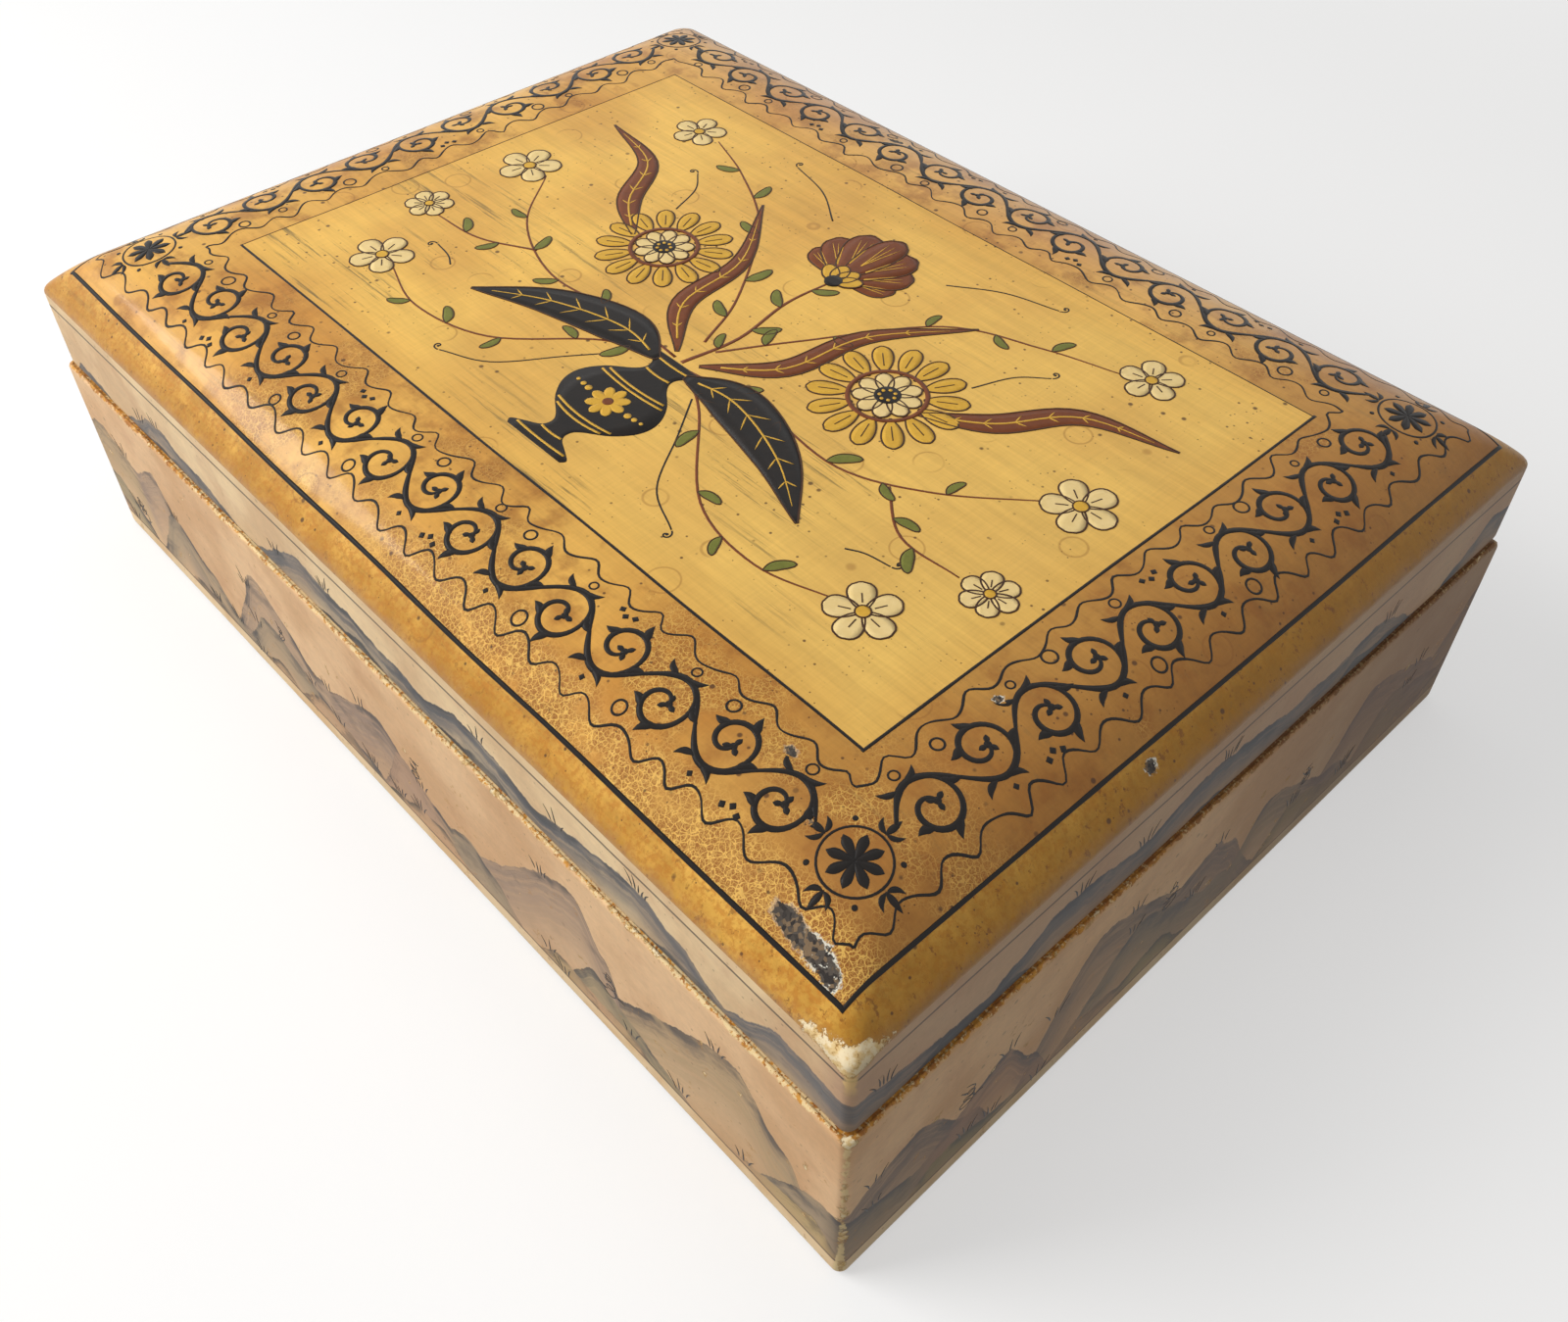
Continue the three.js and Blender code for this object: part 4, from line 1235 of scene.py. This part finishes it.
def painted_hills(g, base, rows, shaded):
    """Soft hills laid over each other, back to front. A row is given as its three body colours, its shade
    along the skyline, how wide that shade is, and how deep the hill reaches before it clears into what is
    behind it. shaded is painted shade: a factor that multiplies the bodies."""
    haze = g.noise(6, 4, 0.65, g.stretched(1, 1, 0.6))
    run = g.attribute("run")
    for k, (bodies, edge, width, deep) in enumerate(rows):
        depth = g.attribute(f"below_ridge_{k}")
        below = depth + (haze - 0.5) * 4.0
        tone = g.attribute(f"tone_{k}")
        hair = g.noise(1, 3, 0.7, g.joined(run * 0.16, depth * 2.6, 5.0 * k)).above(0.54, 0.64)
        wash = g.noise(1, 4, 0.6, g.joined(run * 0.05, below * 0.55, 3.0 * k))
        body = g.layers(bodies[0], (tone.above(0.2, 0.45), bodies[1]), (tone.above(0.55, 0.8), bodies[2]))
        inside = below.above(-0.25, 0.35)
        clear = 1 - below.above(deep * 0.15, deep) * (0.55 + 0.4 * wash)
        stretch = g.noise(17, 3, 0.55, g.shifted(31 * k, 0)).above(0.46, 0.6)
        soft = below.above(width * 2.4, 0.3) * (0.3 + 0.7 * wash.above(0.3, 0.65))
        dark = below.above(width * 0.9, width * 0.15) * stretch
        smudge = g.noise(9, 4, 0.65, g.stretched(0.7, 0.7, 1.3)).above(0.52, 0.66)
        line = abs(below - 0.2).above(0.3, 0.1) * g.noise(11, 2, 0.5).above(0.5, 0.62)
        base = g.layers(
            base,
            (inside * clear * (0.7 + 0.3 * wash.above(0.3, 0.6)), g.darken(body, shaded)),
            (inside * soft * (0.22 + 0.7 * stretch), edge),
            (inside * dark * 0.7, colour(edge, 0.5)),
            (inside * (smudge * below.above(width * 4, 1)) * 0.6, colour(edge, 0.8)),
            (inside * soft * hair * 0.5, colour(edge, 0.45)),
            (line * 0.5, (56, 46, 42)),
        )
    return base


def brushed(g, base, strength):
    """Faint brush marks that run along each side, and small stains. With them comes the marks' noise."""
    streaks = 0.6 * g.noise(2, 4, 0.65, g.stretched(0.12, 0.12, 1))
    streaks = streaks + 0.4 * g.noise(0.7, 3, 0.65, g.stretched(0.09, 0.09, 1))
    mottle = g.noise(1.7, 4, 0.7)
    base = g.darken(base, 0.86 - strength * 1.5 + 3 * strength * streaks + 0.28 * mottle)
    return g.layers(base, (g.noise(13, 4, 0.6).above(0.52, 0.75) * 0.25, (176, 112, 76))), streaks


def side_finish(g, base, streaks, roughness, specular):
    """What both sides end with: specks, bare gesso where the coat is worn, and an uneven surface."""
    base, gone, _ = worn(g, g.layers(base, (specks(g) * 0.4, (96, 66, 50))))
    normal = g.bump(streaks * 0.3 - gone * 1.2 + g.noise(12, 2, 0.5) * 1.6, 0.1)
    return g.finish(base, roughness + 0.14 * streaks + gone * 0.3, normal, specular=specular)


def to_arris(g, half):
    """How far a side's point lies from the upright arris beside it."""
    return float(half.sum()) - abs(g.x) - abs(g.y)


def lid_side_paint():
    """The lid's side: peach ground with a thin dark line near the top, blue-grey hills that rise from the
    seam, a painted shadow along the seam, a golden line rubbed into the upright arris, and painted shade
    on the right side."""
    g = Finish("lid_side_paint")
    ground = g.layers(
        (238, 208, 162),
        (g.noise(24, 3, 0.5).above(0.35, 0.65), (214, 178, 134)),
        # Painted shade: the ground darkens on the right side.
        (g.x.above(140, 147) * 0.6, (172, 132, 106)),
    )
    base, streaks = brushed(g, ground, 0.11)
    under_top = CROWN_FOOT - g.z
    pale = under_top.above(TOP_LINE + 0.2, TOP_LINE - 0.2) * (0.22 - 0.2 * g.x.above(140, 148))
    lilac = ((120, 112, 106), (104, 102, 102), (140, 122, 104))
    slate = ((104, 100, 95), (92, 92, 94), (116, 106, 92))
    rows = ((lilac, (64, 67, 72), 3.4, 16), (slate, (58, 62, 66), 2.6, 11))
    # Painted shade: the hills' bodies are darker on the right side.
    base = painted_hills(g, g.layers(base, (pale, (240, 210, 160))), rows, 1 - 0.3 * g.x.above(143, 147))
    line = abs(under_top - TOP_LINE + (g.noise(30, 2, 0.5) - 0.5) * 0.5).above(0.44, 0.28)
    # Painted shadow along the seam at the lid's foot, deeper towards the right.
    seam = (g.z - LID_FOOT).above(0.9, 0.1)
    rubbed = (to_arris(g, LID_HALF) - 2.4 * g.noise(2.8, 3, 0.7)).above(0.7, 0.2) * under_top.above(11, 6)
    base = g.layers(
        base,
        (line * 0.85, (62, 48, 40)),
        (seam * (0.2 + 0.4 * g.x.above(120, 148)), (92, 60, 36)),
        (rubbed * 0.8, (232, 196, 128)),
    )
    return side_finish(g, base, streaks, 0.44, 0.22)


def rim_paint(g):
    """What shows where the rim is rubbed: cream gesso with gold left on it, more of the gold at the left and
    on the right side, where painted shade turns it brown at the far end."""
    to_right = g.x.above(144, 149)
    # Painted shade: the far end of the right side is browner.
    far_end_shade = to_right * g.y.above(-60, 30)
    flecks = (g.noise(1, 3, 0.7) - 0.12 * to_right.most(g.x.above(-40, -120))).above(0.42, 0.5)
    return g.layers(
        (208, 146, 56),
        (g.noise(1.5, 3, 0.6).above(0.4, 0.6), (160, 98, 34)),
        (far_end_shade * 0.85, (108, 74, 48)),
        (flecks * (0.9 - 0.4 * far_end_shade), (240, 216, 164)),
    )


def base_side_paint():
    """The base's side: peach ground with three rows of mauve, grey and olive hills, a thin line and a tan
    stripe at the foot, a rubbed rim and a rubbed line on the upright arris. Painted shade darkens the hills
    of the right side and browns and darkens its far end."""
    g = Finish("base_side_paint")
    ground = g.layers((234, 194, 148), (g.noise(30, 3, 0.5).above(0.35, 0.65), (212, 168, 122)))
    base, streaks = brushed(g, ground, 0.1)
    mauve = ((180, 150, 122), (160, 134, 114), (182, 154, 116))
    grey = ((168, 146, 116), (190, 148, 118), (160, 142, 108))
    olive = ((200, 172, 116), (210, 166, 124), (180, 158, 108))
    rows = ((mauve, (92, 82, 76), 4.6, 36), (grey, (80, 74, 72), 4.0, 26), (olive, (86, 78, 66), 3.0, 15))
    # Painted shade: the hills are darker on the right side.
    base = painted_hills(g, base, rows, 1 - 0.42 * g.x.above(144, 149))
    tan_shade = g.layers((250, 220, 174), (g.noise(15).above(0.4, 0.6), (236, 198, 146)))
    line = abs(g.z - FOOT_LINE + (g.noise(30, 2, 0.5) - 0.5) * 0.6).above(0.42, 0.24)
    # Painted shade at the far end of the right side: browner, and darker over all.
    far_end_shade = g.x.above(140, 149) * g.y.above(-30, 90)
    base = g.layers(
        base,
        (g.z.above(FOOT_STRIPE, FOOT_STRIPE - 0.3) * 0.85, tan_shade),
        (line * 0.85, (74, 52, 38)),
        (far_end_shade * 0.55, (112, 70, 36)),
    )
    width = 0.1 + 0.9 * g.noise(3.4, 4, 0.7).above(0.4, 0.68)
    rubbed = to_arris(g, BASE_HALF) - 1.1 * g.noise(2.4, 3, 0.7) - 0.5 * g.z.above(12, 2.4)
    base = g.layers(
        g.darken(base, 1 - 0.2 * far_end_shade),
        ((RIM - g.z - width).above(0.15, -0.15) * 0.9, rim_paint(g)),
        (rubbed.above(0.86, 0.7) * 0.85, (232, 206, 150)),
    )
    return side_finish(g, base, streaks, 0.46, 0.2)


def stroke_paint(name, dark, light, rub=0.0):
    """Brush paint, mottled between a dark and a light shade and, where it is rubbed, thin in places."""
    g = Finish(name)
    mottle = g.noise(2.4, 4, 0.65)
    base = g.layers(dark, ((0.5 + (mottle - 0.5) * 0.45).above(0.2, 0.8), light))
    if rub:
        thin = g.noise(1.3, 4, 0.7).above(0.62, 0.74) * g.noise(30, 2, 0.5).above(0.5, 0.66)
        base = g.layers(base, (thin * rub, (120, 88, 52)))
    return g.finish(base, 0.34 + 0.14 * mottle, g.bump(mottle, 0.05), specular=0.22)


def inner_wood(name, light, dark, along):
    """Varnished wood: growth rings drawn out along one axis, with pores. The outer 2 mm of the base's rim is
    rubbed like the paint beside it."""
    g = Finish(name)
    grain = g.stretched(*(0.06 if axis == along else 1.0 for axis in range(3)))
    pores = g.noise(0.7, 3, 0.7, grain)
    base = g.layers(light, (g.noise(4.2, 5, 0.65, grain, distortion=0.4).above(0.32, 0.7) * 0.75, dark))
    ledge = (abs(g.x) - BASE_X).most(abs(g.y) - BASE_Y).above(-2.4, -1.8) * abs(g.z - RIM).above(0.5, 0.2)
    base = g.layers(
        g.darken(base, 0.78 + 0.42 * pores),
        (g.noise(22, 3, 0.6).above(0.5, 0.75) * 0.3, (70, 36, 18)),
        (ledge * 0.9, rim_paint(g)),
    )
    return g.finish(base, 0.42 + 0.16 * pores, g.bump(pores, 0.06), coat=(0.15, 0.3))


def aged_metal(name, bright, dull, roughness):
    """Brass gone brown in the hollows and rubbed bright elsewhere, finely scratched."""
    g = Finish(name)
    tarnish = g.noise(4.5, 4, 0.65)
    scratches = g.noise(0.5, 3, 0.6, g.stretched(0.08, 1, 1))
    base = g.layers(bright, (tarnish.above(0.42, 0.66), dull))
    rough = roughness + 0.22 * tarnish.above(0.4, 0.7) + 0.1 * scratches
    return g.finish(base, rough, g.bump(scratches, 0.02), metallic=1.0 - 0.35 * tarnish.above(0.5, 0.75))


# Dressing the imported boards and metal

def dress_frame():
    """Wood on the boards and pegs, aged brass on the hinges, pins and screws, by the first of these words
    that a node's name holds. The name of a board that runs along the front holds none."""
    light, dark = (178, 108, 54), (120, 64, 28)
    short = inner_wood("inner_wood_short", light, dark, 1)
    by_word = {
        "screw": aged_metal("screw_brass", (184, 146, 80), (96, 68, 36), 0.36),
        "pin": aged_metal("rubbed_brass", (206, 168, 92), (140, 104, 54), 0.26),
        "leaf": aged_metal("aged_brass", (190, 150, 78), (112, 80, 40), 0.32),
        "peg": inner_wood("peg_end_grain", (112, 74, 42), (66, 40, 22), 2),
        "base_bottom_board": inner_wood("underside_wood", (150, 104, 62), (104, 66, 36), 0),
        "left": short,
        "right": short,
        "": inner_wood("inner_wood_long", light, dark, 0),
    }
    for node, made in frame["nodes"].items():
        slots = made.data.materials
        slots.clear()
        slots.append(next(material for word, material in by_word.items() if word in node))


def dress_coats():
    """Paints the two coats. The lid's coat is lacquer from its arris up and side paint below."""
    base_coat().data.materials.append(base_side_paint())
    lid = lid_coat().data
    lid.materials.append(gold_lacquer())
    lid.materials.append(lid_side_paint())
    centres = np.zeros(len(lid.polygons) * 3)
    lid.polygons.foreach_get("center", centres)
    upright = centres.reshape(-1, 3)[:, 2] / MM < CROWN_FOOT - ARRIS * 0.8
    lid.polygons.foreach_set("material_index", upright.astype(np.int32))


# Floor, light and camera

FLOOR_HALF = 3000
FLOOR_DROP = 0.3
FLOOR_GLOW = 0.5
AMBIENT = 0.2
CAMERA_PLACE = Vector((224.26, -193.10, 302.20))
CAMERA_TARGET = Vector((43.13, -18.05, 45.0))
CAMERA_ROLL = 0.013
FOCAL_PIXELS = 1524.9
CROPPED = (24.9, 59.6)
SENSOR = 36.0


def seen_plainly(g):
    """1 for rays of the camera, of gloss and through glass, and 0 for the rest."""
    path = g.node("ShaderNodeLightPath").socket.node.outputs
    rays = [Value(g, path[f"Is {kind} Ray"]) for kind in ("Camera", "Glossy", "Transmission")]
    return rays[0].most(rays[1]).most(rays[2])


def floor():
    """A wide pale floor, just under the box. The camera and gloss see it near white, with the box's shadow
    on it, and plain white further away. It throws less light up than that, so that the sides keep their
    shade."""
    mesh = bpy.data.meshes.new("floor")
    corners = np.array([(-1, -1, 0), (1, -1, 0), (1, 1, 0), (-1, 1, 0)]) * FLOOR_HALF - [0, 0, FLOOR_DROP]
    mesh.from_pydata(corners * MM, [], [(0, 1, 2, 3)])
    g = Finish("pale_floor")
    seen = seen_plainly(g)
    shade = g.layers((250, 249, 247), (g.noise(160, 2, 0.5), (247, 246, 244)))
    shade = g.layers((128, 124, 119), (seen, shade))
    lit = {"Base Color": shade, "Roughness": 0.9, "Specular IOR Level": 0.05}
    far = abs(g.x).most(abs(g.y)).above(350, 1100)
    parts = {
        0: seen * (FLOOR_GLOW + (1 - FLOOR_GLOW) * far),
        1: g.node("ShaderNodeBsdfPrincipled", inputs=lit),
        2: g.node("ShaderNodeEmission", inputs={"Strength": 1.0}),
    }
    g.node("ShaderNodeOutputMaterial", inputs={"Surface": g.node("ShaderNodeMixShader", inputs=parts)})
    mesh.materials.append(g.material)
    placed("floor", mesh)


def surroundings():
    """Even white light all round; the camera, gloss and glass see it as plain white."""
    world = bpy.data.worlds.new("studio")
    bpy.context.scene.world = world
    world.use_nodes = True
    g = Graph(world.node_tree)
    strength = AMBIENT + (1 - AMBIENT) * seen_plainly(g)
    background = g.node("ShaderNodeBackground", inputs={"Color": (1, 1, 1, 1), "Strength": strength})
    g.node("ShaderNodeOutputWorld", inputs={"Surface": background})


def aimed(place, target, roll=0.0):
    """The matrix of a light or camera at a place, facing a target, rolled about its own view line."""
    turn = (target - place).to_track_quat("-Z", "Y").to_matrix().to_4x4()
    return Matrix.Translation(place * MM) @ turn @ Matrix.Rotation(roll, 4, "Z")


def soft_light(name, place, size, power, in_gloss=False, in_paint=True):
    """A square area light that faces the middle of the box. It shows in gloss or lights the paint."""
    lamp = bpy.data.lights.new(name, "AREA")
    lamp.size = size * MM
    lamp.energy = power
    made = placed(name, lamp)
    made.matrix_world = aimed(Vector(place), Vector((0, 0, 50)))
    made.visible_glossy = in_gloss
    made.visible_diffuse = in_paint


def camera():
    """The photograph's view: its lens is the focal length in pixels over the image's width, and the lens axis
    meets the image a little right of its middle and above it, because the photograph was cropped."""
    lens = bpy.data.cameras.new("camera")
    lens.sensor_fit = "HORIZONTAL"
    lens.sensor_width = SENSOR
    lens.lens = FOCAL_PIXELS / IMAGE_SIZE[0] * SENSOR
    lens.shift_x = -CROPPED[0] / IMAGE_SIZE[0]
    lens.shift_y = -CROPPED[1] / IMAGE_SIZE[0]
    lens.clip_start = 0.01
    made = placed("camera", lens)
    made.matrix_world = aimed(CAMERA_PLACE, CAMERA_TARGET, CAMERA_ROLL)
    bpy.context.scene.camera = made


dress_frame()
dress_coats()
border(stroke_paint("black_ink", BLACK, (30, 24, 20), rub=0.5))
bouquet({
    "black": stroke_paint("black_paint", BLACK, (34, 28, 24), rub=0.35),
    "brown": stroke_paint("brown_paint", (92, 46, 24), (128, 70, 36), rub=0.3),
    "gold": stroke_paint("gold_paint", (196, 146, 44), (228, 182, 74)),
    "olive": stroke_paint("olive_paint", (92, 96, 36), (128, 128, 58), rub=0.3),
    "cream": stroke_paint("cream_paint", (222, 190, 120), (240, 214, 156)),
    "line": stroke_paint("outline_paint", (48, 28, 14), (78, 48, 24)),
})
tufts(stroke_paint("grass_ink", (20, 18, 17), (38, 31, 27)))
floor()
surroundings()
soft_light("key", (-660, -740, 800), 800, 15.2)
soft_light("fill", (420, -500, 350), 300, 0.5)
soft_light("overhead", (-100, 100, 1300), 900, 3)
soft_light("window", (-1020, -610, 780), 300, 3.5, in_gloss=True, in_paint=False)
camera()
bpy.context.scene.view_settings.view_transform = "Standard"
